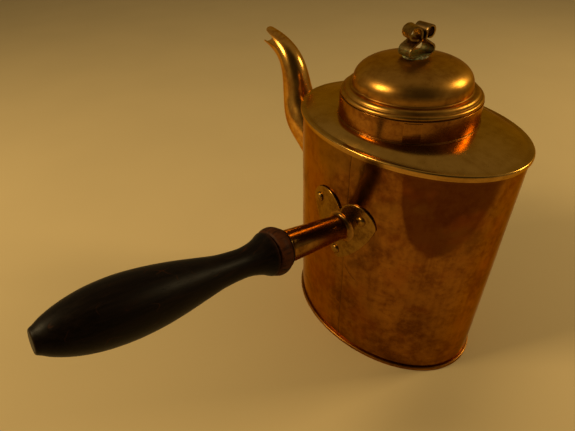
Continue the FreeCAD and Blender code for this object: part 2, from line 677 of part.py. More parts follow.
# ---------------------------------------------------------------- build and export
def main():
    """Build every piece in its place and write it."""
    body_block = oval_slab(0, -1, BODY_HEIGHT + 1)
    plate_block = oval_slab(PLATE_THICK, -1, BODY_HEIGHT + 1)
    drills = [rivet_drill(spot) for spot in RIVET_SPOTS.values()]
    plate = make_handle_plate()
    for drill in drills:
        plate = plate.cut(drill)
    wall = make_body_wall(drills + strainer_tools())
    export("base_plate", make_base_plate())
    export("body_wall", wall)
    export("top_plate", make_top_plate())
    export("collar", make_collar())
    export("handle_plate", plate)
    for name, spot in RIVET_SPOTS.items():
        export(name, make_rivet(spot, plate_block))

    cover = make_lid_cover()
    export("lid_cover", cover)
    export("lid_bezel", make_lid_bezel())
    export("finial_scroll", make_finial_scroll())
    export("finial_solder", make_finial_solder(cover))

    export("spout", make_spout(body_block))
    export("spout_solder", make_spout_solder(body_block))

    pin, pin_drill = pin_blank()
    socket = make_handle_socket(plate_block, pin_drill)
    export("handle_socket", socket)
    export("root_collar", make_root_collar(plate_block))
    export("wooden_handle", make_wooden_handle(pin_drill))
    export("handle_pin", largest(pin.cut(socket)))


main()
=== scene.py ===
import logging
import math
from dataclasses import dataclass
from enum import Enum
from typing import Callable, Sequence

import bmesh
import bpy
from mathutils import Matrix, Vector, noise


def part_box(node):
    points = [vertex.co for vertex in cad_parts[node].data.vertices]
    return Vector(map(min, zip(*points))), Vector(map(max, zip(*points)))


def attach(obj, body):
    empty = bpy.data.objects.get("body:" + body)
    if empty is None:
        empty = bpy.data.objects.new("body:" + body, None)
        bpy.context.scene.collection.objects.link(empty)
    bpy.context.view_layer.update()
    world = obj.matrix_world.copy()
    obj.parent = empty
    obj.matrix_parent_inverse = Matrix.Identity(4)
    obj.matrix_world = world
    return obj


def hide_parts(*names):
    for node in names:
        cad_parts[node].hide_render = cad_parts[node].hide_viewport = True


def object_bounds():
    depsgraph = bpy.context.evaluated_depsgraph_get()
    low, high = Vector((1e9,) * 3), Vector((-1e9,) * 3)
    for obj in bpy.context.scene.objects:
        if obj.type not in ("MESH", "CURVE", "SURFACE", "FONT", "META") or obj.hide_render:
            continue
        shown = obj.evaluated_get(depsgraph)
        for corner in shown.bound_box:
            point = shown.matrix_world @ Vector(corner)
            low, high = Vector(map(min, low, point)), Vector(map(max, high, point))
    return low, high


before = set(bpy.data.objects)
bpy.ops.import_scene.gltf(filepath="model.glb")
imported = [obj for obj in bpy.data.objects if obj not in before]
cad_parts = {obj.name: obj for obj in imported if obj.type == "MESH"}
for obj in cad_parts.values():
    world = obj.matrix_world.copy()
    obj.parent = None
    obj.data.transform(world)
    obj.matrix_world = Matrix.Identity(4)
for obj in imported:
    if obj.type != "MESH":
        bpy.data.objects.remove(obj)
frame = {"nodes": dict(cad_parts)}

# A side-handled coffee pot of aged sheet brass, in the frame of its solid model: the origin is the
# centre of the resting face, +Z is up, the spout points to -X and the handle to -Y. Sizes are in
# millimetres, and each piece is turned to metres as it is finished.

MM = 0.001
CAD_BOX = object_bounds()
TURN = 100.0                # radius at which a piece is spun before it is pressed to its own shape
FILM_WIDTH = 36.0           # the camera's sensor
NEAR_CLIP = 0.01            # metres
WELD = 1e-4                 # points nearer than this are one point
SPOUT_ROOT_Z = 110.8        # where the spout's middle line leaves the wall
HANDLE_ROOT_Z = 105.5       # where the handle's axis meets the wall
HANDLE_SLOPE = 12.0         # degrees above level
LAMP_TARGET = Vector((0, 0, 90))
LOG = logging.getLogger("coffee_pot")

Point = tuple[float, float]
Colour = tuple[float, float, float]
Press = Callable[[Vector], Vector]


class Body(Enum):
    """The two moving bodies that pieces ride on."""

    POT = "pot"
    LID = "lid"


class Slot(Enum):
    """The material slots of the record."""

    BODY = "body_brass"
    TOP = "top_brass"
    POLISHED = "polished_brass"
    PLATE = "plate_brass"
    DARK = "dark_brass"
    SOLDER = "solder"
    WOOD = "black_wood"


class Grain(Enum):
    """Which way the fine working marks of a finish run, as stretch factors for X, Y and Z."""

    UPRIGHT = (1.0, 1.0, 0.05)
    LEVEL = (0.12, 0.12, 1.0)
    ALONG_X = (0.06, 1.0, 1.0)
    EVEN = (1.0, 1.0, 1.0)


# ---------------------------------------------------------------- measuring and small sums
def span(node: str) -> tuple[Vector, Vector]:
    """Measure a node of the solid model.

    Args:
        node: The node's name.

    Returns:
        Its lowest and highest corner in millimetres.
    """
    low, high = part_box(node)
    return low / MM, high / MM


def smoothstep(low: float, high: float, value: float) -> float:
    """Give 0 below low, 1 above high and a smooth rise between."""
    share = min(max((value - low) / (high - low), 0.0), 1.0)
    return share * share * (3 - 2 * share)


def waviness(place: Vector, size: float, seed: float) -> float:
    """Give smooth noise from about -1 to 1 with bumps of the given size."""
    return noise.noise(place / size + Vector((seed, 2.3 * seed, -1.7 * seed)))


def outward(spot: Vector) -> Vector:
    """Give the level unit direction from the Z axis to a point."""
    return Vector((spot.x, spot.y, 0)).normalized()


def quarter(radius: float, height: float, base: float, steps: int, fullness: float = 1.0) -> list[Point]:
    """Draw a domed head from its top to its foot.

    Args:
        radius: The head's radius.
        height: How far it rises.
        base: Height of its foot.
        steps: How many pieces a whole quarter turn has.
        fullness: Below 1 the head is fuller than an ellipse.

    Returns:
        The head's (radius, height) points, its foot included.
    """
    angles = [k / steps * math.pi / 2 for k in range(steps + 1)]
    return [(radius * math.sin(a), base + height * max(math.cos(a), 0.0) ** fullness) for a in angles]


def put(name: str, data: bpy.types.ID) -> bpy.types.Object:
    """Put a new object in the scene."""
    made = bpy.data.objects.new(name, data)
    bpy.context.scene.collection.objects.link(made)
    return made


def through(knots: Sequence[float], share: float) -> float:
    """Read a smooth curve through evenly spaced values.

    Args:
        knots: The values at even steps from 0 to 1.
        share: Where to read, from 0 to 1.

    Returns:
        The value there.
    """
    last = len(knots) - 1
    spot = min(max(share, 0.0), 1.0) * last
    k = min(int(spot), last - 1)
    t = spot - k
    before = knots[k - 1] if k > 0 else 2 * knots[0] - knots[1]
    after = knots[k + 2] if k + 2 <= last else 2 * knots[last] - knots[last - 1]
    rise_a = (knots[k + 1] - before) / 2
    rise_b = (after - knots[k]) / 2
    a = 2 * knots[k] - 2 * knots[k + 1] + rise_a + rise_b
    b = -3 * knots[k] + 3 * knots[k + 1] - 2 * rise_a - rise_b
    return ((a * t + b) * t + rise_a) * t + knots[k]


@dataclass(frozen=True)
class Corner:
    """One corner of an outline.

    Attributes:
        r: Distance from the axis.
        z: Height along the axis.
        round: How far the corner is rounded back along its sides.
    """

    r: float
    z: float
    round: float = 0.0


def rounded(corners: Sequence[Corner], closed: bool = True, steps: int = 4) -> list[Point]:
    """Round the corners of an outline.

    Args:
        corners: The outline in order.
        closed: Whether the last corner joins the first.
        steps: How many pieces each rounded corner has.

    Returns:
        The outline's (radius, height) points.
    """
    points: list[Point] = []
    count = len(corners)
    for index, corner in enumerate(corners):
        here = Vector((corner.r, corner.z))
        is_end = not closed and index in (0, count - 1)
        if corner.round == 0 or is_end:
            points.append((here.x, here.y))
            continue
        before = Vector((corners[index - 1].r, corners[index - 1].z)) - here
        after_corner = corners[(index + 1) % count]
        after = Vector((after_corner.r, after_corner.z)) - here
        reach = min(corner.round, 0.48 * before.length, 0.48 * after.length)
        start = here + before.normalized() * reach
        end = here + after.normalized() * reach
        for step in range(steps + 1):
            t = step / steps
            spot = start * (1 - t) ** 2 + here * (2 * t * (1 - t)) + end * t ** 2
            points.append((spot.x, spot.y))
    return points


def run(start: Point, end: Point, steps: int) -> list[Point]:
    """Divide a straight side evenly, leaving out its last point."""
    return [
        (start[0] + (end[0] - start[0]) * k / steps, start[1] + (end[1] - start[1]) * k / steps)
        for k in range(steps)
    ]


def arc_through(a: Point, b: Point, c: Point, steps: int) -> list[Point]:
    """Sample the arc through three points, leaving out its last point.

    Args:
        a: Where the arc starts.
        b: A point that it passes.
        c: Where it ends.
        steps: How many pieces it has.

    Returns:
        The arc's points in order.
    """
    d = 2 * (a[0] * (b[1] - c[1]) + b[0] * (c[1] - a[1]) + c[0] * (a[1] - b[1]))
    sa, sb, sc = (p[0] ** 2 + p[1] ** 2 for p in (a, b, c))
    cx = (sa * (b[1] - c[1]) + sb * (c[1] - a[1]) + sc * (a[1] - b[1])) / d
    cy = (sa * (c[0] - b[0]) + sb * (a[0] - c[0]) + sc * (b[0] - a[0])) / d
    radius = math.hypot(a[0] - cx, a[1] - cy)
    first, middle, last = (math.atan2(p[1] - cy, p[0] - cx) for p in (a, b, c))
    sweep = (last - first) % math.tau
    if (middle - first) % math.tau > sweep:
        sweep -= math.tau
    return [
        (cx + radius * math.cos(first + sweep * k / steps), cy + radius * math.sin(first + sweep * k / steps))
        for k in range(steps)
    ]


# ---------------------------------------------------------------- shader graph
class Sock:
    """A value in a material's graph that Python's operators work on."""

    def __init__(self, graph: "Graph", socket: bpy.types.NodeSocket) -> None:
        """Wrap one output socket of a graph."""
        self.graph = graph
        self.socket = socket

    def math(self, operation: str, *others: "Sock | float", swap: bool = False) -> "Sock":
        """Add a Math node.

        Args:
            operation: The Math node's operation.
            *others: The other operands.
            swap: Whether this value is the second operand.

        Returns:
            The result.
        """
        values = [self, *others]
        if swap:
            values.reverse()
        return self.graph.node("ShaderNodeMath", {"operation": operation}, dict(enumerate(values)))

    def __add__(self, other: "Sock | float") -> "Sock":
        """Add."""
        return self.math("ADD", other)

    def __radd__(self, other: float) -> "Sock":
        """Add, reflected."""
        return self.math("ADD", other, swap=True)

    def __sub__(self, other: "Sock | float") -> "Sock":
        """Subtract."""
        return self.math("SUBTRACT", other)

    def __rsub__(self, other: float) -> "Sock":
        """Subtract, reflected."""
        return self.math("SUBTRACT", other, swap=True)

    def __mul__(self, other: "Sock | float") -> "Sock":
        """Multiply."""
        return self.math("MULTIPLY", other)

    def __rmul__(self, other: float) -> "Sock":
        """Multiply, reflected."""
        return self.math("MULTIPLY", other, swap=True)

    def __truediv__(self, other: "Sock | float") -> "Sock":
        """Divide."""
        return self.math("DIVIDE", other)

    def __rtruediv__(self, other: float) -> "Sock":
        """Divide, reflected."""
        return self.math("DIVIDE", other, swap=True)

    def __pow__(self, other: "Sock | float") -> "Sock":
        """Raise to a power."""
        return self.math("POWER", other)

    def clamp(self) -> "Sock":
        """Limit to the range from 0 to 1."""
        return self.graph.node("ShaderNodeClamp", {}, {0: self})

    def ramp(self, low: float, high: float) -> "Sock":
        """Rise smoothly from 0 at low to 1 at high, or fall where low is the larger."""
        settings = {"interpolation_type": "SMOOTHSTEP"}
        if low < high:
            return self.graph.node("ShaderNodeMapRange", settings, {0: self, 1: low, 2: high})
        inputs = {0: self, 1: high, 2: low, 3: 1.0, 4: 0.0}
        return self.graph.node("ShaderNodeMapRange", settings, inputs)


class Graph:
    """The node graph of one material, or of the room's light."""

    def __init__(self, name: str, world: bpy.types.World | None = None) -> None:
        """Start an empty graph.

        Args:
            name: The material's name.
            world: The world whose graph it is, instead of a new material's.
        """
        self.material = world or bpy.data.materials.new(name)
        self.material.use_nodes = True
        self.tree = self.material.node_tree
        self.tree.nodes.clear()

    def node(self, kind: str, settings: dict | None = None, inputs: dict | None = None,
             output: int = 0) -> Sock:
        """Add any node.

        Args:
            kind: The node's type.
            settings: Its settings, set before its sockets.
            inputs: Values or links of its sockets, by name or number.
            output: The number of the output to use.

        Returns:
            That output.
        """
        made = self.tree.nodes.new(kind)
        for key, value in (settings or {}).items():
            setattr(made, key, value)
        for key, value in (inputs or {}).items():
            if isinstance(value, Sock):
                self.tree.links.new(value.socket, made.inputs[key])
            else:
                made.inputs[key].default_value = value
        return Sock(self, made.outputs[output])

    def place(self) -> Sock:
        """Give the object's coordinates in millimetres."""
        metres = self.node("ShaderNodeTexCoord", output=3)
        return self.node("ShaderNodeVectorMath", {"operation": "SCALE"}, {0: metres, "Scale": 1 / MM})

    def turned(self, place: Sock, angles: Colour) -> Sock:
        """Turn coordinates with a Mapping node, angles in radians."""
        return self.node("ShaderNodeMapping", {"vector_type": "POINT"}, {"Vector": place, "Rotation": angles})

    def axes(self, place: Sock) -> tuple[Sock, Sock, Sock]:
        """Split coordinates into X, Y and Z."""
        split = [self.node("ShaderNodeSeparateXYZ", {}, {0: place}, k) for k in range(3)]
        return split[0], split[1], split[2]

    def vector(self, x: Sock | float, y: Sock | float, z: Sock | float) -> Sock:
        """Join X, Y and Z into coordinates."""
        return self.node("ShaderNodeCombineXYZ", {}, {0: x, 1: y, 2: z})

    def noise(self, place: Sock, size: float, detail: float = 3.0, rough: float = 0.55,
              stretch: Colour = Grain.EVEN.value, seed: float = 0.0) -> Sock:
        """Add noise.

        Args:
            place: Coordinates in millimetres.
            size: Size of the largest bumps in millimetres.
            detail: How many finer layers are added.
            rough: How strong the finer layers are.
            stretch: Factors on the coordinates, small where bumps are long.
            seed: Shifts the pattern.

        Returns:
            Values round 0.5.
        """
        inputs = {0: place, 1: stretch, 2: (seed, seed * 1.7, seed * 0.6)}
        moved = self.node("ShaderNodeVectorMath", {"operation": "MULTIPLY_ADD"}, inputs)
        sockets = {"Vector": moved, "Scale": 1 / size, "Detail": detail, "Roughness": rough}
        return self.node("ShaderNodeTexNoise", {"noise_dimensions": "3D"}, sockets)

    def mix(self, share: Sock | float, a: Sock | Colour, b: Sock | Colour) -> Sock:
        """Mix two colours.

        Args:
            share: How much of b shows.
            a: The first colour.
            b: The second colour.

        Returns:
            The mixed colour.
        """
        colours = [c if isinstance(c, Sock) else (*c, 1.0) for c in (a, b)]
        inputs = {0: share, 6: colours[0], 7: colours[1]}
        return self.node("ShaderNodeMix", {"data_type": "RGBA", "blend_type": "MIX"}, inputs, 2)

    def attribute(self, name: str) -> Sock:
        """Read a number stored on the mesh."""
        return self.node("ShaderNodeAttribute", {"attribute_name": name}, {}, 2)

    def scratches(self, place: Sock, size: float, thin: float, stretch: Colour, seed: float) -> Sock:
        """Draw thin broken lines.

        Args:
            place: Coordinates in millimetres.
            size: Distance between lines in millimetres.
            thin: Half width of a line, in noise values.
            stretch: Factors on the coordinates, small along the lines.
            seed: Shifts the pattern.

        Returns:
            1 on a line and 0 off it.
        """
        field = self.noise(place, size, 1.0, 0.4, stretch, seed)
        line = (field - 0.5).math("ABSOLUTE").ramp(thin, 0.0)
        broken = self.noise(place, size * 1.6, 2.0, 0.6, seed=seed + 31.0).ramp(0.52, 0.62)
        return line * broken

    def finish(self, shader: dict, height: Sock, depth: float) -> bpy.types.Material:
        """Close the graph with a Principled shader and a Bump node.

        Args:
            shader: Values or links of the shader's sockets.
            height: The surface's height in millimetres.
            depth: How strongly the height shows.

        Returns:
            The finished material.
        """
        bump = self.node("ShaderNodeBump", {}, {"Strength": depth, "Distance": MM, "Height": height})
        surface = self.node("ShaderNodeBsdfPrincipled", {}, {**shader, "Normal": bump})
        out = self.tree.nodes.new("ShaderNodeOutputMaterial")
        self.tree.links.new(surface.socket, out.inputs[0])
        return self.material


# ---------------------------------------------------------------- finishes
@dataclass
class Look:
    """What a finish has laid down so far.

    Attributes:
        colour: The base colour.
        rough: The roughness.
        height: The surface's height in millimetres.
    """

    colour: Sock
    rough: Sock
    height: Sock

    def stain(self, graph: Graph, mask: Sock, colour: Colour, rough: float = 0.0) -> None:
        """Lay a colour over the look where a mask says.

        Args:
            graph: The material's graph.
            mask: How much of the colour shows.
            colour: The colour.
            rough: What it adds to the roughness.
        """
        self.colour = graph.mix(mask, self.colour, colour)
        self.rough = self.rough + mask * rough


@dataclass(frozen=True)
class AgedBrass:
    """Sheet brass with a clouded, scratched and streaked old polish.

    Attributes:
        name: The material's name.
        bright: The cleanest metal.
        mid: The thin tarnish over most of it.
        dark: Grime and deep tarnish.
        gloss: Roughness of the cleanest metal.
        clouds: Size of the tarnish clouds.
        clouded: How strongly deep tarnish shows, 0 to 1.
        grain: Which way the working marks run.
        seed: Shifts the pattern.
    """

    name: str
    bright: Colour
    mid: Colour
    dark: Colour
    gloss: float
    clouds: float = 24.0
    clouded: float = 0.6
    grain: Grain = Grain.UPRIGHT
    seed: float = 0.0

    def coordinates(self, g: Graph, place: Sock) -> Sock:
        """Give the coordinates that the working marks follow."""
        return place

    def local(self, g: Graph, place: Sock, look: Look) -> None:
        """Add the marks that belong to one place on the object."""

    def make(self) -> bpy.types.Material:
        """Build the material.

        Returns:
            The finished material.
        """
        g = Graph(self.name)
        place = g.place()
        way = self.coordinates(g, place)
        cloud = g.noise(place, self.clouds, 5.0, 0.62, seed=self.seed)
        mottle = g.noise(place, self.clouds / 6, 4.0, 0.6, seed=self.seed + 7.0)
        streak = g.noise(way, 3.0, 3.0, 0.55, self.grain.value, self.seed + 3.0)
        hair = g.noise(way, 0.5, 2.0, 0.6, self.grain.value, self.seed + 11.0)
        specks = g.noise(place, 1.1, 2.0, 0.5, seed=self.seed + 17.0).ramp(0.66, 0.74)
        thin = g.scratches(place, 9.0, 0.010, (1.0, 1.0, 0.25), self.seed + 23.0)
        cross = g.scratches(place, 12.0, 0.008, (0.3, 0.3, 1.4), self.seed + 29.0)
        deep = (cloud * 0.65 + mottle * 0.35).ramp(0.50, 0.72)
        clean = (cloud * 0.52 + mottle * 0.36 + streak * 0.12).ramp(0.60, 0.40)
        look = Look(g.mix(clean, self.mid, self.bright), self.gloss + deep * 0.12, hair * 0.004)
        look.stain(g, deep * self.clouded, self.dark, 0.06)
        look.stain(g, streak.ramp(0.54, 0.74) * 0.16, self.mid, 0.05)
        look.stain(g, specks * 0.55, self.dark, 0.12)
        look.stain(g, thin * 0.35, self.bright, 0.10)
        look.stain(g, cross * 0.30, self.dark, 0.10)
        look.height = look.height + streak * 0.010 + mottle * 0.012 - (thin + cross) * 0.010 - specks * 0.008
        self.local(g, place, look)
        look.stain(g, g.attribute("edge") * 0.75, tuple(min(1.25 * c, 1.0) for c in self.bright), -0.04)
        # Darker in creases, where the surface bends inward.
        look.stain(g, g.attribute("nook") * (0.35 + mottle), self.dark, 0.15)
        shader = {
            "Base Color": look.colour, "Roughness": look.rough.clamp(), "Metallic": 1.0,
            "Specular Tint": (0.95, 0.62, 0.26, 1.0),
        }
        return g.finish(shader, look.height, 1.0)


@dataclass(frozen=True)
class WallBrass(AgedBrass):
    """The wall's coppery brass, with its seam and crack, darker bands at foot and rim, and a painted dark
    reflection on its front.
    """

    lap_x: float = 3.5
    plate_x: float = -1.5
    plate_z: float = 103.0

    def local(self, g: Graph, place: Sock, look: Look) -> None:
        """Add the seam and crack, darkening at foot, rim and round the plate, olive and red tones, and a
        painted dark reflection.
        """
        x, y, z = g.axes(place)
        ragged = g.noise(place, 14.0, 4.0, 0.65, seed=41.0)
        front = y.ramp(-8.0, -18.0)
        # Darker towards the foot, with a ragged edge.
        foot = (z + ragged * 22.0).ramp(24.0, 10.0)
        look.stain(g, foot * 0.55, self.dark, 0.08)
        # Darker towards the rim, with a ragged edge.
        rim = (z - ragged * 10.0).ramp(146.0, 154.0)
        look.stain(g, rim * 0.45, self.dark, 0.05)
        # Painted reflection: a dark shield on the front, from the rim down, standing in for dark surroundings
        # mirrored in the wall.
        painted_dark_reflection = ((x - 52.0) / 18.0) ** 2.0 + ((159.0 - z) / 53.0) ** 2.0 + (ragged - 0.5) * 0.25
        look.stain(g, painted_dark_reflection.ramp(1.12, 0.92) * front * 0.80, (0.085, 0.022, 0.004), 0.02)
        # Darker in a ragged ring round the handle plate, on the front.
        halo = (((x - self.plate_x) / 27.0) ** 2.0 + ((z - self.plate_z) / 27.0) ** 2.0).ramp(1.35, 0.8)
        look.stain(g, halo * front * ragged.ramp(0.35, 0.6) * 0.5, self.dark, 0.08)
        olive = g.noise(place, 30.0, 3.0, 0.5, seed=61.0).ramp(0.52, 0.66) * z.ramp(95.0, 140.0)
        look.stain(g, olive * 0.55, (0.22, 0.115, 0.016), 0.03)
        red = g.noise(place, 26.0, 3.0, 0.5, seed=67.0).ramp(0.50, 0.68)
        look.stain(g, red * 0.35, (0.30, 0.080, 0.009))
        lap = (x - self.lap_x).math("ABSOLUTE").ramp(0.42, 0.12) * front
        look.stain(g, lap * ragged.ramp(0.3, 0.5) * 0.9, (0.03, 0.014, 0.008), 0.3)
        crack = (z + (x - 4.0) * 0.9 - 76.0 + (ragged - 0.5) * 6.0).math("ABSOLUTE").ramp(0.55, 0.1)
        crack = crack * (x - 9.0).math("ABSOLUTE").ramp(5.5, 4.0) * front
        look.stain(g, crack * 0.8, (0.04, 0.018, 0.01), 0.3)
        look.height = look.height - lap * 0.05 - crack * 0.03 + ragged * 0.05


@dataclass(frozen=True)
class SpunBrass(AgedBrass):
    """Brass worked on a lathe, with fine rings round its axis."""

    def coordinates(self, g: Graph, place: Sock) -> Sock:
        """Give distance from the axis and height, so that the marks run round it."""
        x, y, z = g.axes(place)
        away = (x * x + y * y).math("SQRT")
        return g.vector(away, (x + y) * 0.01, z)

    def local(self, g: Graph, place: Sock, look: Look) -> None:
        """Add the tool's fine rings."""
        ring = g.noise(self.coordinates(g, place), 0.7, 1.0, 0.5, seed=self.seed + 5.0)
        look.height = look.height + ring * 0.010
        look.rough = look.rough + (ring - 0.5) * 0.10


@dataclass(frozen=True)
class SootedBrass(AgedBrass):
    """Brass that has stood on the fire, black towards the middle of its underside."""

    def local(self, g: Graph, place: Sock, look: Look) -> None:
        """Add the soot under the pot."""
        x, y, z = g.axes(place)
        ragged = g.noise(place, 16.0, 5.0, 0.7, seed=71.0)
        away = ((x / 72.0) ** 2.0 + (y / 50.0) ** 2.0).math("SQRT")
        soot = (away + ragged * 0.5).ramp(1.35, 0.9) * z.ramp(0.8, 0.2)
        look.stain(g, soot * 0.85, (0.035, 0.02, 0.014), 0.35)


@dataclass(frozen=True)
class TarnishedStrip(AgedBrass):
    """The finial's dark strip, rubbed bright on its edges and green near the solder."""

    green: Colour = (0.20, 0.26, 0.12)
    crust_z: float = 202.0

    def local(self, g: Graph, place: Sock, look: Look) -> None:
        """Add the green crust towards the strip's foot."""
        z = g.axes(place)[2]
        crumbs = g.noise(place, 1.6, 5.0, 0.7, seed=83.0)
        crust = (z - crumbs * 7.0).ramp(self.crust_z - 2.0, self.crust_z - 7.0)
        look.stain(g, crust * crumbs.ramp(0.42, 0.55) * 0.8, self.green, 0.35)
        look.height = look.height + crust * crumbs * 0.12


@dataclass(frozen=True)
class GreySolder:
    """Dull lead solder with pale green salts on it.

    Attributes:
        name: The material's name.
        metal: The solder.
        salts: The green crust.
        green: How much of it is crusted, 0 to 1.
    """

    name: str
    metal: Colour
    salts: Colour
    green: float

    def make(self) -> bpy.types.Material:
        """Build the material.

        Returns:
            The finished material.
        """
        g = Graph(self.name)
        place = g.place()
        crumbs = g.noise(place, 2.2, 6.0, 0.7, seed=91.0)
        cloud = g.noise(place, 5.0, 3.0, 0.5, seed=97.0)
        crust = (crumbs * 0.6 + cloud * 0.4).ramp(0.62 - 0.22 * self.green, 0.72 - 0.22 * self.green)
        dark = tuple(0.35 * c for c in self.metal)
        colour = g.mix(cloud.ramp(0.35, 0.65), dark, self.metal)
        # Darker in creases, where the surface bends inward.
        colour = g.mix(g.attribute("nook") * 0.7, colour, (0.05, 0.035, 0.02))
        colour = g.mix(crust, colour, g.mix(crumbs, tuple(0.55 * c for c in self.salts), self.salts))
        shader = {
            "Base Color": colour,
            "Roughness": (0.42 + crust * 0.4 + crumbs * 0.1).clamp(),
            "Metallic": 1.0 - crust * 0.9,
        }
        return g.finish(shader, crumbs * 0.10 + crust * 0.12, 1.0)


@dataclass(frozen=True)
class EbonisedWood:
    """Black-stained turned wood, worn brown on its bead and scratched along its swell.

    Attributes:
        name: The material's name.
        stain: The black stain.
        bare: The wood where the stain has worn off.
        slope: How far the handle's axis is turned from +Z, in radians.
        root: Where the handle's axis starts.
        bead: Distances along the axis between which the bead lies.
    """

    name: str
    stain: Colour
    bare: Colour
    slope: float
    root: Vector
    bead: Point

    def make(self) -> bpy.types.Material:
        """Build the material, with its grain along the handle's axis.

        Returns:
            The finished material.
        """
        g = Graph(self.name)
        place = g.place()
        level = g.node("ShaderNodeVectorMath", {"operation": "SUBTRACT"}, {0: place, 1: tuple(self.root)})
        along = g.turned(level, (-self.slope, 0.0, 0.0))
        z = g.axes(along)[2]
        fibre = g.noise(along, 1.6, 4.0, 0.6, (1.0, 1.0, 0.04), 3.0)
        pores = g.noise(along, 0.5, 2.0, 0.6, (1.0, 1.0, 0.06), 9.0).ramp(0.60, 0.72)
        patch = g.noise(along, 11.0, 4.0, 0.6, (1.0, 1.0, 0.5), 15.0)
        nicks = g.scratches(along, 7.0, 0.012, (1.0, 1.0, 0.5), 21.0)
        on_bead = z.ramp(self.bead[0] - 1.5, self.bead[0]) * z.ramp(self.bead[1] + 2.0, self.bead[1] - 0.5)
        brown = (on_bead * (0.35 + patch)).clamp()
        worn = (patch * 0.6 + fibre * 0.4).ramp(0.56, 0.72) * 0.5
        colour = g.mix(fibre.ramp(0.35, 0.7), self.stain, tuple(2.2 * c for c in self.stain))
        colour = g.mix(worn, colour, tuple(0.22 * c for c in self.bare))
        colour = g.mix(brown * fibre.ramp(0.3, 0.6), colour, self.bare)
        colour = g.mix((g.attribute("edge") * 0.5 + nicks * 0.35).clamp(), colour, self.bare)
        # Darker in creases, where the surface bends inward.
        colour = g.mix(g.attribute("nook"), colour, (0.004, 0.003, 0.002))
        shader = {
            "Base Color": colour,
            "Roughness": (0.34 + fibre * 0.16 + brown * 0.12 + nicks * 0.2 - worn * 0.1).clamp(),
            "Specular IOR Level": 0.09,
        }
        height = fibre * 0.03 - pores * 0.03 - nicks * 0.03 + patch * 0.05
        return g.finish(shader, height, 1.0)


@dataclass(frozen=True)
class PaleCard:
    """The pale floor.

    Attributes:
        name: The material's name.
        colour: Its colour.
    """

    name: str
    colour: Colour

    def make(self) -> bpy.types.Material:
        """Build the material.

        Returns:
            The finished material.
        """
        g = Graph(self.name)
        place = g.place()
        fibre = g.noise(place, 1.5, 3.0, 0.6, seed=5.0)
        cloud = g.noise(place, 160.0, 2.0, 0.5, seed=8.0)
        colour = g.mix(cloud.ramp(0.3, 0.7) * 0.5, self.colour, tuple(0.93 * c for c in self.colour))
        shader = {"Base Color": colour, "Roughness": 0.72 + fibre * 0.1}
        return g.finish(shader, fibre * 0.03, 0.6)


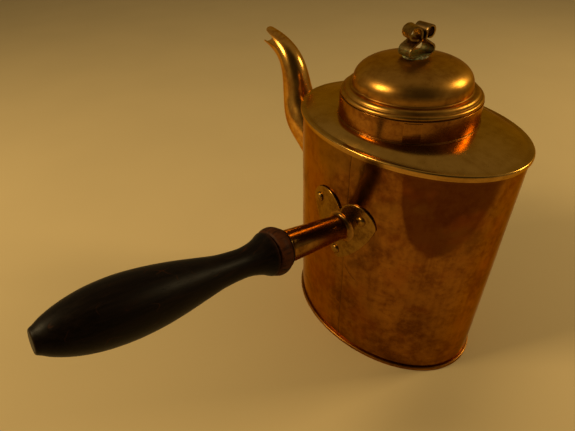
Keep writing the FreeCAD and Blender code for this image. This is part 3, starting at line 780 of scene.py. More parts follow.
# ---------------------------------------------------------------- the bench
class Workpiece:
    """One piece on the bench, shaped with mesh operators in millimetres."""

    def __init__(self) -> None:
        """Start with nothing on the bench."""
        self.mesh = bmesh.new()

    def outline(self, points: Sequence[Point], closed: bool = True) -> "Workpiece":
        """Lay out an outline in the XZ plane.

        Args:
            points: Its (radius, height) points.
            closed: Whether the last point joins the first.

        Returns:
            This piece.
        """
        spots = [self.mesh.verts.new((r, 0.0, z)) for r, z in points]
        pairs = list(zip(spots, spots[1:]))
        if closed:
            pairs.append((spots[-1], spots[0]))
        for pair in pairs:
            self.mesh.edges.new(pair)
        return self

    def spin(self, steps: int, start: float = 0.0, sweep: float = 360.0) -> "Workpiece":
        """Spin the outline about the Z axis.

        Args:
            steps: How many pieces the turn has.
            start: Where it starts, in degrees.
            sweep: How far it goes, in degrees.

        Returns:
            This piece.
        """
        full = sweep == 360.0
        bmesh.ops.spin(
            self.mesh, geom=[*self.mesh.verts, *self.mesh.edges], cent=(0, 0, 0), axis=(0, 0, 1),
            angle=math.radians(sweep), steps=steps, use_merge=full, use_duplicate=False,
        )
        bmesh.ops.rotate(
            self.mesh, verts=self.mesh.verts, cent=(0, 0, 0),
            matrix=Matrix.Rotation(math.radians(start), 3, "Z"),
        )
        if not full:
            open_edges = [edge for edge in self.mesh.edges if edge.is_boundary]
            bmesh.ops.holes_fill(self.mesh, edges=open_edges, sides=0)
        return self.settle()

    def settle(self) -> "Workpiece":
        """Merge doubles and turn the faces outwards."""
        bmesh.ops.remove_doubles(self.mesh, verts=self.mesh.verts, dist=WELD)
        bmesh.ops.recalc_face_normals(self.mesh, faces=self.mesh.faces)
        return self

    def press(self, move: Press) -> "Workpiece":
        """Move every point as a function of its place."""
        for vert in self.mesh.verts:
            vert.co = move(vert.co)
        self.mesh.normal_update()
        return self

    def turn(self, matrix: Matrix) -> "Workpiece":
        """Move the whole piece by a matrix."""
        bmesh.ops.transform(self.mesh, matrix=matrix, verts=self.mesh.verts)
        return self

    def uneven(self, depth: float, size: float, seed: float) -> "Workpiece":
        """Leave the surface a little uneven, as hand work does.

        Args:
            depth: How far points move along their normals.
            size: Size of the bumps.
            seed: Shifts the pattern.

        Returns:
            This piece.
        """
        self.mesh.normal_update()
        moves = [vert.normal * depth * waviness(vert.co, size, seed) for vert in self.mesh.verts]
        for vert, move in zip(self.mesh.verts, moves):
            vert.co += move
        return self

    def dent(self, centre: Vector, radius: float, depth: float) -> "Workpiece":
        """Knock a small dent into the piece.

        Args:
            centre: The dent's middle, near the surface.
            radius: Its size.
            depth: How far the middle goes in.

        Returns:
            This piece.
        """
        push = Vector((centre.x, centre.y, 0.0)).normalized() * depth
        for vert in self.mesh.verts:
            away = (vert.co - centre).length / radius
            vert.co -= push * math.exp(-away * away)
        return self

    def slice_at(self, points: Sequence[Vector], normal: Vector) -> "Workpiece":
        """Cut new edge loops along parallel planes."""
        for point in points:
            geom = [*self.mesh.verts, *self.mesh.edges, *self.mesh.faces]
            bmesh.ops.bisect_plane(self.mesh, geom=geom, dist=WELD, plane_co=point, plane_no=normal)
        return self

    def cut(self, tool: "Workpiece") -> "Workpiece":
        """Cut another workpiece's shape out of this one.

        Args:
            tool: The shape to cut away, used up by this.

        Returns:
            This piece.
        """
        holders = []
        for work in (self, tool):
            data = bpy.data.meshes.new("on_the_bench")
            work.mesh.to_mesh(data)
            holders.append(put("on_the_bench", data))
        modifier = holders[0].modifiers.new("cut", "BOOLEAN")
        modifier.operation = "DIFFERENCE"
        modifier.solver = "EXACT"
        modifier.object = holders[1]
        depsgraph = bpy.context.evaluated_depsgraph_get()
        result = bpy.data.meshes.new_from_object(holders[0].evaluated_get(depsgraph))
        self.mesh.clear()
        self.mesh.from_mesh(result)
        for holder in holders:
            data = holder.data
            bpy.data.objects.remove(holder)
            bpy.data.meshes.remove(data)
        bpy.data.meshes.remove(result)
        tool.mesh.free()
        return self

    def mark_bends(self, smoothing: int = 2) -> "Workpiece":
        """Store how far each point stands out as an edge or lies in as a nook, from 0 to 1."""
        least = 0.14
        gain = 2.2
        marks = {"edge": [], "nook": []}
        for vert in self.mesh.verts:
            bends = [edge.calc_face_angle_signed(0.0) for edge in vert.link_edges]
            marks["edge"].append(min(max(max(bends, default=0.0) - least, 0.0) * gain, 1.0))
            marks["nook"].append(min(max(-min(bends, default=0.0) - least, 0.0) * gain, 1.0))
        self.mesh.verts.index_update()
        for name, values in marks.items():
            for _ in range(smoothing):
                values = [self.blurred(vert, values) for vert in self.mesh.verts]
            layer = self.mesh.verts.layers.float.new(name)
            for vert, value in zip(self.mesh.verts, values):
                vert[layer] = value
        return self

    @staticmethod
    def blurred(vert: bmesh.types.BMVert, values: Sequence[float]) -> float:
        """Average a point's value with its neighbours'."""
        near = [values[edge.other_vert(vert).index] for edge in vert.link_edges]
        return 0.5 * values[vert.index] + 0.5 * sum(near) / max(len(near), 1)

    def finish(self, name: str, body: Body, slot: Slot, material: bpy.types.Material,
               stands_for: str | None = None, sharp: float = 42.0) -> bpy.types.Object:
        """Turn the piece to metres and put it on the object.

        Args:
            name: The piece's name.
            body: What it rides on.
            slot: The record's material slot; not used.
            material: Its finish.
            stands_for: The node of the solid model that it replaces.
            sharp: Edges bent more than this many degrees stay sharp.

        Returns:
            The finished object.
        """
        self.mark_bends()
        bmesh.ops.scale(self.mesh, vec=(MM, MM, MM), verts=self.mesh.verts)
        data = bpy.data.meshes.new(name)
        self.mesh.to_mesh(data)
        self.mesh.free()
        data.polygons.foreach_set("use_smooth", [True] * len(data.polygons))
        data.set_sharp_from_angle(angle=math.radians(sharp))
        data.materials.append(material)
        made = put(name, data)
        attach(made, body.value)
        if stands_for:
            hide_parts(stands_for)
        LOG.info("%s: %d faces on %s", name, len(data.polygons), body.value)
        return made


# ---------------------------------------------------------------- shapes shared by pieces
@dataclass(frozen=True)
class Oval:
    """The wall's outside ellipse.

    Attributes:
        half_x: Half its length.
        half_y: Half its width.
    """

    half_x: float
    half_y: float

    def press(self, spot: Vector) -> Vector:
        """Press a point of a piece spun at the shared radius onto the oval.

        Args:
            spot: A point, at the shared radius plus its distance outside the wall.

        Returns:
            Its place on the oval piece.
        """
        margin = 3.0
        angle = math.atan2(spot.y, spot.x)
        away = math.hypot(spot.x, spot.y)
        grow = max(away - TURN, -margin)
        share = min(away / (TURN - margin), 1.0)
        half_x = (self.half_x + grow) * share
        half_y = (self.half_y + grow) * share
        return Vector((half_x * math.cos(angle), half_y * math.sin(angle), spot.z))

    def outside(self, spot: Vector, grow: float) -> bool:
        """Tell whether a point is outside the oval grown by some distance."""
        return (spot.x / (self.half_x + grow)) ** 2 + (spot.y / (self.half_y + grow)) ** 2 > 1

    def leave(self, path: Callable[[float], Vector], grow: float, low: float, high: float) -> float:
        """Find where a path leaves the oval.

        Args:
            path: Gives the path's point at a distance or share.
            grow: How far outside the wall the surface is.
            low: A value where the path is inside.
            high: A value where it is outside.

        Returns:
            The value where it crosses.
        """
        for _ in range(24):
            middle = (low + high) / 2
            if self.outside(path(middle), grow):
                high = middle
            else:
                low = middle
        return (low + high) / 2

    def front(self, x: float) -> tuple[Vector, Vector]:
        """Give the point of the handle's side at X, and the outward normal there."""
        spot = Vector((x, -self.half_y * math.sqrt(1 - (x / self.half_x) ** 2), 0.0))
        return spot, self.normal(spot)

    def normal(self, spot: Vector) -> Vector:
        """Give the wall's level outward direction at a point."""
        return Vector((spot.x / self.half_x ** 2, spot.y / self.half_y ** 2, 0)).normalized()

    def along_wall(self, spot: Vector, way: Vector) -> Vector:
        """Lay a direction flat on the wall at a point."""
        normal = self.normal(spot)
        return (way - normal * way.dot(normal)).normalized()


@dataclass(frozen=True)
class Fillet:
    """A ring of solder or braze run into the corner round a tube's root.

    Attributes:
        wide: How far it runs out on the sheet.
        tall: How far it climbs the tube.
        seed: Shifts its unevenness.
    """

    wide: float
    tall: float
    seed: float

    def make(self, corner_at: Callable[[float], tuple[Vector, Vector, Vector]], steps: int = 96) -> Workpiece:
        """Run the fillet round its corner.

        Args:
            corner_at: Gives, at an angle, the corner's point, the way out on the sheet and the way
                up the tube.
            steps: How many pieces the ring has.

        Returns:
            The ring.
        """
        wide, tall = self.wide, self.tall
        section = [
            (-0.5, -0.5), (0.92 * wide, -0.4), (wide, -0.1), (0.96 * wide, 0.05 * tall),
            (0.66 * wide, 0.13 * tall), (0.38 * wide, 0.27 * tall), (0.18 * wide, 0.5 * tall),
            (0.06 * wide, 0.78 * tall), (0.02 * wide, 0.97 * tall), (-0.1, tall), (-0.5, 0.9 * tall),
        ]
        ring = Workpiece().outline([(TURN + p, q) for p, q in section]).spin(steps)

        def run_in(spot: Vector) -> Vector:
            """Lay a point of the ring into the corner."""
            angle = math.atan2(spot.y, spot.x)
            out = math.hypot(spot.x, spot.y) - TURN
            compass = Vector((math.cos(angle), math.sin(angle), 0.0)) * 2.2
            corner, sheet_way, tube_way = corner_at(angle)
            spread = 1 + 0.22 * waviness(compass, 1.0, self.seed) if out > 0 else 1.0
            climb = 1 + 0.20 * waviness(compass, 0.8, self.seed + 4.0) if spot.z > 0 else 1.0
            return corner + sheet_way * (out * spread) + tube_way * (spot.z * climb)

        return ring.press(run_in).settle()


def smooth_run(points: Sequence[Point], steps: int) -> list[Point]:
    """Draw a smooth curve through the points of an outline."""
    radii = [point[0] for point in points]
    heights = [point[1] for point in points]
    return [(through(radii, k / steps), through(heights, k / steps)) for k in range(steps + 1)]


# ---------------------------------------------------------------- the pot's body
@dataclass
class OvalBody:
    """The wall, the base folded round its foot and the crowned top plate with its rolled rim.

    Attributes:
        oval: The wall's outside.
        finish: The wall's finish.
        base_finish: The base's finish.
        top_finish: The top plate's finish.
        sheet: Thickness of the sheet.
        foot_proud: How far the folded foot stands outside the wall.
        foot_height: Its height.
        rim_proud: How far the rolled rim stands outside the wall.
        rim_height: Its height.
        skirt_proud: Thickness of the edge turned down over the wall.
        skirt_depth: How far that edge reaches below the rim.
        crown_rise: How far the top plate rises to the collar.
        seat_radius: Outside of the flat ring round the mouth.
        mouth_radius: The mouth.
        lap_x: Where the wall's lapped seam runs, under the handle.
        lap_step: How far the upper sheet of the lap stands out.
        steps: How many pieces a full turn has.
    """

    oval: Oval
    finish: WallBrass
    base_finish: SootedBrass
    top_finish: AgedBrass
    sheet: float = 0.9
    foot_proud: float = 1.58
    foot_height: float = 2.6
    rim_proud: float = 1.3
    rim_height: float = 2.4
    skirt_proud: float = 0.45
    skirt_depth: float = 1.5
    crown_rise: float = 3.8
    seat_radius: float = 42.2
    mouth_radius: float = 38.7
    lap_x: float = 3.5
    lap_step: float = 0.30
    steps: int = 256

    def wall(self, spout_root: Vector) -> bpy.types.Object:
        """Bend the wall, with its lap, its slight waves and the strainer behind the spout."""
        low, high = (corner.z for corner in span("body_wall"))
        inside = TURN - self.sheet
        sides = run((TURN, low), (TURN, high), 64) + [(TURN, high)] + run((inside, high), (inside, low), 16)
        work = Workpiece().outline(sides + [(inside, low)]).spin(self.steps).press(self.oval.press)
        cuts = [Vector((self.lap_x + shift, 0, 0)) for shift in (-0.1, 0.15)]
        work.slice_at(cuts, Vector((1, 0, 0)))

        def worked(spot: Vector) -> Vector:
            """Give the sheet its lap and its waves, none of them at the foot or the rim."""
            calm = smoothstep(low, low + 12, spot.z) * smoothstep(high, high - 12, spot.z)
            wave = 0.16 * waviness(spot, 38.0, 5.0) + 0.05 * waviness(spot, 15.0, 9.0)
            past_lap = spot.x - self.lap_x
            lap = 0.0
            if spot.y < 0 < past_lap:
                lap = self.lap_step * (1 - smoothstep(5.0, 13.0, past_lap))
            return spot + self.oval.normal(spot) * (calm * (wave + lap))

        work.press(worked)
        work.cut(self.strainer_drills(spout_root))
        return work.finish("body_wall_sheet", Body.POT, Slot.BODY, self.finish.make(), "body_wall")

    def strainer_drills(self, root: Vector) -> Workpiece:
        """Set up the drills for the straining holes behind the spout.

        Args:
            root: Where the spout's middle line leaves the wall.

        Returns:
            The drills as one workpiece.
        """
        drills = Workpiece()
        radius, pitch, depth = 1.5, 5.6, 12
        room_y, room_z = 8.1, 14.8
        for row in range(-5, 6):
            for column in range(-3, 4):
                y = (column + 0.5 * (row % 2)) * pitch
                z = row * pitch * math.sqrt(3) / 2
                if (y / room_y) ** 2 + (z / room_z) ** 2 > 1:
                    continue
                place = Matrix.Translation(root + Vector((0, y, z))) @ Matrix.Rotation(math.pi / 2, 4, "Y")
                bmesh.ops.create_cone(
                    drills.mesh, cap_ends=True, segments=20, radius1=radius, radius2=radius, depth=depth,
                    matrix=place,
                )
        return drills

    def base(self) -> bpy.types.Object:
        """Fold the base up round the foot of the wall."""
        out = TURN + self.foot_proud
        outline = rounded([
            Corner(0, 0.35), Corner(60, 0.3), Corner(88, 0.0, 6.0), Corner(out, 0.0, 0.8),
            Corner(out, self.foot_height, 0.8), Corner(TURN + 0.05, self.foot_height + 0.05, 0.3),
            Corner(TURN + 0.02, self.sheet), Corner(0, self.sheet),
        ], closed=False, steps=5)
        work = Workpiece().outline(outline, closed=False).spin(self.steps).press(self.oval.press)

        def sprung(spot: Vector) -> Vector:
            """Dish the underside unevenly and let the folded foot wander a little inward."""
            under = 0.12 * (1 + waviness(spot, 26.0, 21.0)) * smoothstep(0.8, 0.2, spot.z)
            inside = smoothstep(1.0, 0.8, (spot.x / self.oval.half_x) ** 2 + (spot.y / self.oval.half_y) ** 2)
            fold = 0.07 * (1 + waviness(spot, 9.0, 23.0)) * smoothstep(0.4, 1.2, spot.z)
            return spot + Vector((0, 0, under * inside)) - outward(spot) * fold

        work.press(sprung)
        return work.finish("base_plate_sheet", Body.POT, Slot.BODY, self.base_finish.make(), "base_plate")

    def top(self) -> bpy.types.Object:
        """Raise the crowned top plate, roll its rim and turn its edge down over the wall."""
        height = span("top_plate")[1].z - self.crown_rise
        rim_low = height - self.rim_height
        rim_out = TURN + self.rim_proud
        skirt_out = TURN + self.skirt_proud
        skirt_low = rim_low - self.skirt_depth
        blend_start = TURN - 2 * self.sheet
        blend = 30.0
        flat = self.seat_radius - self.mouth_radius
        crown_steps = 18
        shares = [k / crown_steps for k in range(crown_steps + 1)]
        crown = [
            (blend_start - blend * share, height + self.crown_rise * math.sin(share * math.pi / 2))
            for share in shares
        ]
        mouth = blend_start - blend - flat
        top_z = height + self.crown_rise
        outer = rounded([
            Corner(TURN + 0.04, skirt_low), Corner(skirt_out, skirt_low, 0.2),
            Corner(skirt_out, rim_low, 0.15), Corner(rim_out, rim_low, 1.1),
            Corner(rim_out, height + 0.05, 1.3), Corner(blend_start, height),
        ], closed=False, steps=6)
        edge = rounded([Corner(*crown[-1]), Corner(mouth, top_z, 0.3), Corner(mouth, top_z - self.sheet),
                        Corner(crown[-1][0], top_z - self.sheet)], closed=False)
        under = [(r, z - self.sheet) for r, z in reversed(crown)]
        outline = outer[:-1] + crown[:-1] + edge[:-1] + under + [(TURN + 0.04, height - self.sheet)]
        work = Workpiece().outline(outline).spin(self.steps)

        def crown_press(spot: Vector) -> Vector:
            """Blend the plate from the oval rim to the round mouth."""
            angle = math.atan2(spot.y, spot.x)
            away = math.hypot(spot.x, spot.y)
            share = min(max((blend_start - away) / blend, 0.0), 1.0)
            grow = max(away, blend_start) - TURN
            inward = max(blend_start - blend - away, 0.0)
            half_x = (self.oval.half_x + grow) * (1 - share) + self.seat_radius * share - inward
            half_y = (self.oval.half_y + grow) * (1 - share) + self.seat_radius * share - inward
            wave = 0.12 * waviness(spot, 30.0, 13.0) * math.sin(share * math.pi)
            return Vector((half_x * math.cos(angle), half_y * math.sin(angle), spot.z + wave))

        work.press(crown_press)
        return work.finish("top_plate_sheet", Body.POT, Slot.TOP, self.top_finish.make(), "top_plate")

    def make(self, spout_root: Vector) -> None:
        """Make the three pieces of the body."""
        self.wall(spout_root)
        self.base()
        self.top()


# ---------------------------------------------------------------- collar and lid
@dataclass
class MouthCollar:
    """The upright collar that the lid sits on, with its soldered foot and lapped seam.

    Attributes:
        finish: Its finish.
        sheet: Thickness of the sheet.
        foot_proud: Width of the foot flange.
        foot_thick: Its thickness.
        lap_thick: How far the lap stands out.
        lap_start: Where the lap starts, in degrees.
        lap_sweep: How far it runs.
    """

    finish: AgedBrass
    sheet: float = 0.9
    foot_proud: float = 0.9
    foot_thick: float = 0.5
    lap_thick: float = 0.35
    lap_start: float = -57.0
    lap_sweep: float = 13.0

    def make(self) -> bpy.types.Object:
        """Turn the collar and lay its lap on it."""
        low, high = span("collar")
        foot = high.x
        out = foot - self.foot_proud
        inside = out - self.sheet
        foot_top = low.z + self.foot_thick
        outline = rounded([
            Corner(inside, low.z), Corner(foot, low.z, 0.15), Corner(foot, foot_top, 0.35),
            Corner(out, foot_top, 0.55), Corner(out, high.z, 0.35), Corner(inside, high.z, 0.35),
        ], steps=6)
        work = Workpiece().outline(outline).spin(192)
        lap = Workpiece().outline(rounded([
            Corner(out - 0.3, foot_top + 0.5), Corner(out + self.lap_thick, foot_top + 0.5, 0.2),
            Corner(out + self.lap_thick, high.z - self.sheet, 0.2), Corner(out - 0.3, high.z - self.sheet),
        ])).spin(18, self.lap_start, self.lap_sweep)
        joined = bpy.data.meshes.new("lap")
        lap.mesh.to_mesh(joined)
        lap.mesh.free()
        work.mesh.from_mesh(joined)
        bpy.data.meshes.remove(joined)
        middle = (low.z + high.z) / 2

        def pulled(spot: Vector) -> Vector:
            """Pull the band a little off the round between its foot and its top."""
            share = 1 - ((spot.z - middle) / (high.z - middle)) ** 2
            wave = 0.12 * waviness(spot, 24.0, 33.0) * max(share, 0.0)
            return spot + outward(spot) * wave

        work.press(pulled)
        return work.finish("mouth_collar", Body.POT, Slot.POLISHED, self.finish.make(), "collar")


@dataclass
class DomedLid:
    """The lift-off lid: a spun dome over two mouldings and a rolled rim, and the ring under it.

    Attributes:
        finish: Its finish.
        sheet: Thickness of the sheet.
        dome_radius: The dome at its foot.
        dome_height: Its height.
        fullness: Exponent of its curve, 2 for an ellipse.
        step_height: From the lid's seat to the dome's foot.
        rim_height: The rim's height above the seat.
        ring_out: Outside of the ring under the lid.
        ring_sheet: Its thickness.
        dents: Small dents as (angle in degrees, height, radius of the lid there).
    """

    finish: AgedBrass
    sheet: float = 0.9
    dome_radius: float = 33.4
    dome_height: float = 15.6
    fullness: float = 2.7
    step_height: float = 4.4
    rim_height: float = 2.05
    ring_out: float = 38.8
    ring_sheet: float = 0.8
    dents: tuple[tuple[float, float, float], ...] = (
        (-133.0, 183.6, 33.0), (-141.0, 180.3, 36.8), (-120.0, 178.6, 39.0), (-101.0, 182.6, 33.2),
    )

    def dome(self, foot: float, thinner: float, steps: int = 28) -> list[Point]:
        """Draw the dome's full curve from its top to its foot.

        Args:
            foot: Height of the dome's foot.
            thinner: How far inside the outer surface the curve lies.
            steps: How many pieces the curve has.

        Returns:
            Its points.
        """
        power = 2 / self.fullness
        radius, height = self.dome_radius - thinner, self.dome_height - thinner
        angles = [math.pi / 2 * (1 - (k / steps) ** 1.2) for k in range(steps + 1)]
        return [
            (radius * max(math.cos(a), 0.0) ** power, foot + height * max(math.sin(a), 0.0) ** power)
            for a in angles
        ]

    def cover(self, material: bpy.types.Material) -> bpy.types.Object:
        """Spin the dome, its two mouldings and its rim."""
        low, high = span("lid_cover")
        seat, rim_out = low.z, high.x
        foot = seat + self.step_height
        rim_top = seat + self.rim_height
        step_out = self.dome_radius + (rim_out - self.dome_radius) * 0.69
        ledge = (self.dome_radius + 1.4, foot - 0.3)
        outer, inner = self.dome(foot, 0.0), self.dome(foot, self.sheet)
        fillet = rounded([Corner(*outer[-2]), Corner(*outer[-1], 0.6), Corner(*ledge)], closed=False)
        upper = arc_through(ledge, (step_out - 0.75, ledge[1] - 0.45), (step_out, rim_top + 0.30), 10)
        groove_end = (rim_out - 1.25, rim_top)
        groove = rounded([
            Corner(step_out, rim_top + 0.35), Corner(step_out + 0.15, rim_top, 0.2), Corner(*groove_end),
        ], closed=False)
        rim_side = (rim_out - 0.02, seat + 0.45)
        lower = arc_through(groove_end, (rim_out - 0.2, rim_top - 0.75), rim_side, 10)
        seat_in = self.ring_out - self.ring_sheet
        inside = rounded([
            Corner(*rim_side), Corner(rim_out - 0.12, seat, 0.2), Corner(seat_in, seat),
            Corner(seat_in - self.sheet, rim_top - 0.55, 0.8),
            Corner(ledge[0] - self.sheet, ledge[1] - self.sheet, 0.5), Corner(*inner[-1]),
        ], closed=False)
        outline = outer[:-2] + fillet[:-1] + upper + groove[:-1] + lower + inside + inner[-2::-1]
        work = Workpiece().outline(outline, closed=False).spin(192)
        dent_radius, dent_depth = 2.6, 0.55
        for angle, height, radius in self.dents:
            turn = math.radians(angle)
            centre = Vector((radius * math.cos(turn), radius * math.sin(turn), height))
            work.dent(centre, dent_radius, dent_depth)
        work.uneven(0.05, 16.0, 43.0)
        return work.finish("lid_dome", Body.LID, Slot.POLISHED, material, "lid_cover")

    def ring(self, material: bpy.types.Material) -> bpy.types.Object:
        """Turn the ring that drops into the collar, its lower edge curled in a little."""
        low, high = span("lid_bezel")
        inside = self.ring_out - self.ring_sheet
        work = Workpiece().outline(rounded([
            Corner(self.ring_out, high.z), Corner(self.ring_out, low.z + 1.2, 0.8),
            Corner(self.ring_out - 0.5, low.z, 0.3), Corner(inside - 0.5, low.z, 0.3),
            Corner(inside, low.z + 1.4, 0.8), Corner(inside, high.z),
        ])).spin(160)
        work.uneven(0.06, 18.0, 47.0)
        return work.finish("lid_ring", Body.LID, Slot.POLISHED, material, "lid_bezel")

    def make(self) -> None:
        """Make the lid's cover and ring with one finish."""
        material = self.finish.make()
        self.cover(material)
        self.ring(material)


@dataclass
class ScrollFinial:
    """One strip bent to a bell-shaped loop, a waist and two outward scrolls, soldered to the dome.

    Attributes:
        finish: The strip's finish.
        solder: The solder's finish.
        strip: Thickness of the strip.
        width: Its width, along X.
        solder_height: The solder between the dome and the strip.
        foot_radius: Bend of the loop's shoulders.
        foot_half: Half the distance between their centres.
        foot_turn: How far each shoulder bends past upright, in degrees.
        waist_half: Half the distance between the strip's two sides at the waist.
        waist_radius: Bend below the waist.
        scroll_radius: Bend of the scrolls.
        scroll_rise: From the waist to the scrolls' centres.
        scroll_turn: How far each scroll is wound, in degrees.
        twist: How far the strip stands askew, in degrees.
    """

    finish: TarnishedStrip
    solder: GreySolder
    strip: float = 1.0
    width: float = 9.4
    solder_height: float = 0.5
    foot_radius: float = 2.8
    foot_half: float = 5.6
    foot_turn: float = 60.0
    waist_half: float = 0.9
    waist_radius: float = 1.2
    scroll_radius: float = 3.1
    scroll_rise: float = 2.9
    scroll_turn: float = 290.0
    twist: float = -12.0

    def bend(self, centre: Point, radius: float, start: float, end: float, steps: int) -> list[Point]:
        """Draw one bend of the strip's middle line, angles in degrees."""
        angles = [math.radians(start + (end - start) * k / steps) for k in range(steps + 1)]
        return [(centre[0] + radius * math.cos(a), centre[1] + radius * math.sin(a)) for a in angles]

    def half_line(self, bottom: float) -> list[Point]:
        """Draw half of the strip's middle line in the YZ plane, from its foot to its scroll."""
        turn = math.radians(self.foot_turn)
        foot = (self.foot_half, bottom + self.foot_radius)
        shoulder_y = foot[0] + self.foot_radius * math.cos(turn)
        shoulder_z = foot[1] + self.foot_radius * math.sin(turn)
        neck_centre = self.waist_half + self.waist_radius
        neck_y = neck_centre - self.waist_radius * math.cos(turn)
        neck_z = shoulder_z + (shoulder_y - neck_y) / math.tan(turn)
        waist_z = neck_z + self.waist_radius * math.sin(turn)
        scroll = (self.waist_half + self.scroll_radius, waist_z + self.scroll_rise)
        line = [(self.foot_half * k / 4, bottom) for k in range(4)]
        line += self.bend(foot, self.foot_radius, -90, self.foot_turn, 14)
        line += self.bend((neck_centre, waist_z), self.waist_radius, 180 + self.foot_turn, 180, 6)
        line += [(self.waist_half, waist_z + self.scroll_rise * k / 3) for k in (1, 2)]
        line += self.bend(scroll, self.scroll_radius, 180, 180 - self.scroll_turn, 26)
        return line

    def scroll(self, dome_top: float) -> bpy.types.Object:
        """Bend the strip.

        Args:
            dome_top: Height of the dome.

        Returns:
            The finished strip.
        """
        work = Workpiece()
        half = self.half_line(dome_top + self.solder_height + self.strip / 2)
        for side in (1, -1):
            spots = [work.mesh.verts.new((-self.width / 2, side * y, z)) for y, z in half]
            for pair in zip(spots, spots[1:]):
                work.mesh.edges.new(pair)
        bmesh.ops.remove_doubles(work.mesh, verts=work.mesh.verts, dist=WELD)
        across = 8
        edges = list(work.mesh.edges)
        for _ in range(across):
            made = bmesh.ops.extrude_edge_only(work.mesh, edges=edges)["geom"]
            moved = [item for item in made if isinstance(item, bmesh.types.BMVert)]
            bmesh.ops.translate(work.mesh, verts=moved, vec=(self.width / across, 0, 0))
            edges = [item for item in made if isinstance(item, bmesh.types.BMEdge)]
        bmesh.ops.recalc_face_normals(work.mesh, faces=work.mesh.faces)

        top = max(z for _, z in half)
        reach = self.waist_half + self.scroll_radius

        def hand_bent(spot: Vector) -> Vector:
            """Open one scroll wider than the other, twist it, and leave the strip wavy."""
            up = smoothstep(top - 2.4 * self.scroll_radius, top - 1.6 * self.scroll_radius, spot.z)
            wide, askew, sag = (1.16, -15.0, 0.12) if spot.y <= 0 else (0.92, 4.0, 0.25)
            middle = Vector((0.0, math.copysign(reach, spot.y), 0.0))
            turned = Matrix.Rotation(math.radians(askew * up), 3, "Z") @ (spot - middle) + middle
            turned.y *= 1 + (wide - 1) * up
            turned.z = top + (turned.z - top) * (1 + (wide - 1) * 0.6 * up) - sag * up
            wave_x = 0.22 * waviness(spot, 6.0, 51.0) * spot.x / self.width
            wave_y = 0.12 * waviness(spot, 5.0, 53.0)
            return turned + Vector((wave_x, wave_y, 0))

        work.press(hand_bent).turn(Matrix.Rotation(math.radians(self.twist), 4, "Z"))
        made = work.finish("finial_strip", Body.LID, Slot.DARK, self.finish.make(), "finial_scroll")
        wall = made.modifiers.new("strip", "SOLIDIFY")
        wall.thickness = self.strip * MM
        wall.offset = 0.0
        edge = made.modifiers.new("edges", "BEVEL")
        edge.width = 0.22 * MM
        edge.segments = 2
        edge.limit_method = "ANGLE"
        return made

    def pad(self, dome_top: float) -> bpy.types.Object:
        """Leave the lumpy solder round the strip's foot."""
        top = dome_top + self.solder_height
        shape = Oval(self.width / 2 + 1.1, self.foot_half + 1.1)
        work = Workpiece().outline(rounded([
            Corner(0, dome_top - 0.6), Corner(TURN + 0.9, dome_top - 0.7),
            Corner(TURN + 0.8, dome_top - 0.1, 0.3), Corner(TURN - 0.4, top + 0.25, 0.5),
            Corner(TURN - 1.4, top + 0.35, 0.4), Corner(0, top + 0.05),
        ], closed=False, steps=5), closed=False).spin(80)
        bmesh.ops.subdivide_edges(work.mesh, edges=work.mesh.edges, cuts=1, use_grid_fill=True)
        work.press(shape.press)

        def lumpy(spot: Vector) -> Vector:
            """Raise lumps on the top and push the edge in and out."""
            lump = 0.45 * waviness(spot, 2.4, 57.0) * smoothstep(dome_top, top, spot.z)
            spread = 1 + 0.07 * waviness(spot, 3.5, 59.0)
            return Vector((spot.x * spread, spot.y * spread, spot.z + lump))

        work.press(lumpy).settle().turn(Matrix.Rotation(math.radians(self.twist), 4, "Z"))
        return work.finish("finial_solder_pad", Body.LID, Slot.SOLDER, self.solder.make(), "finial_solder")

    def make(self) -> None:
        """Make the strip and its solder on top of the dome."""
        dome_top = span("lid_cover")[1].z
        self.scroll(dome_top)
        self.pad(dome_top)


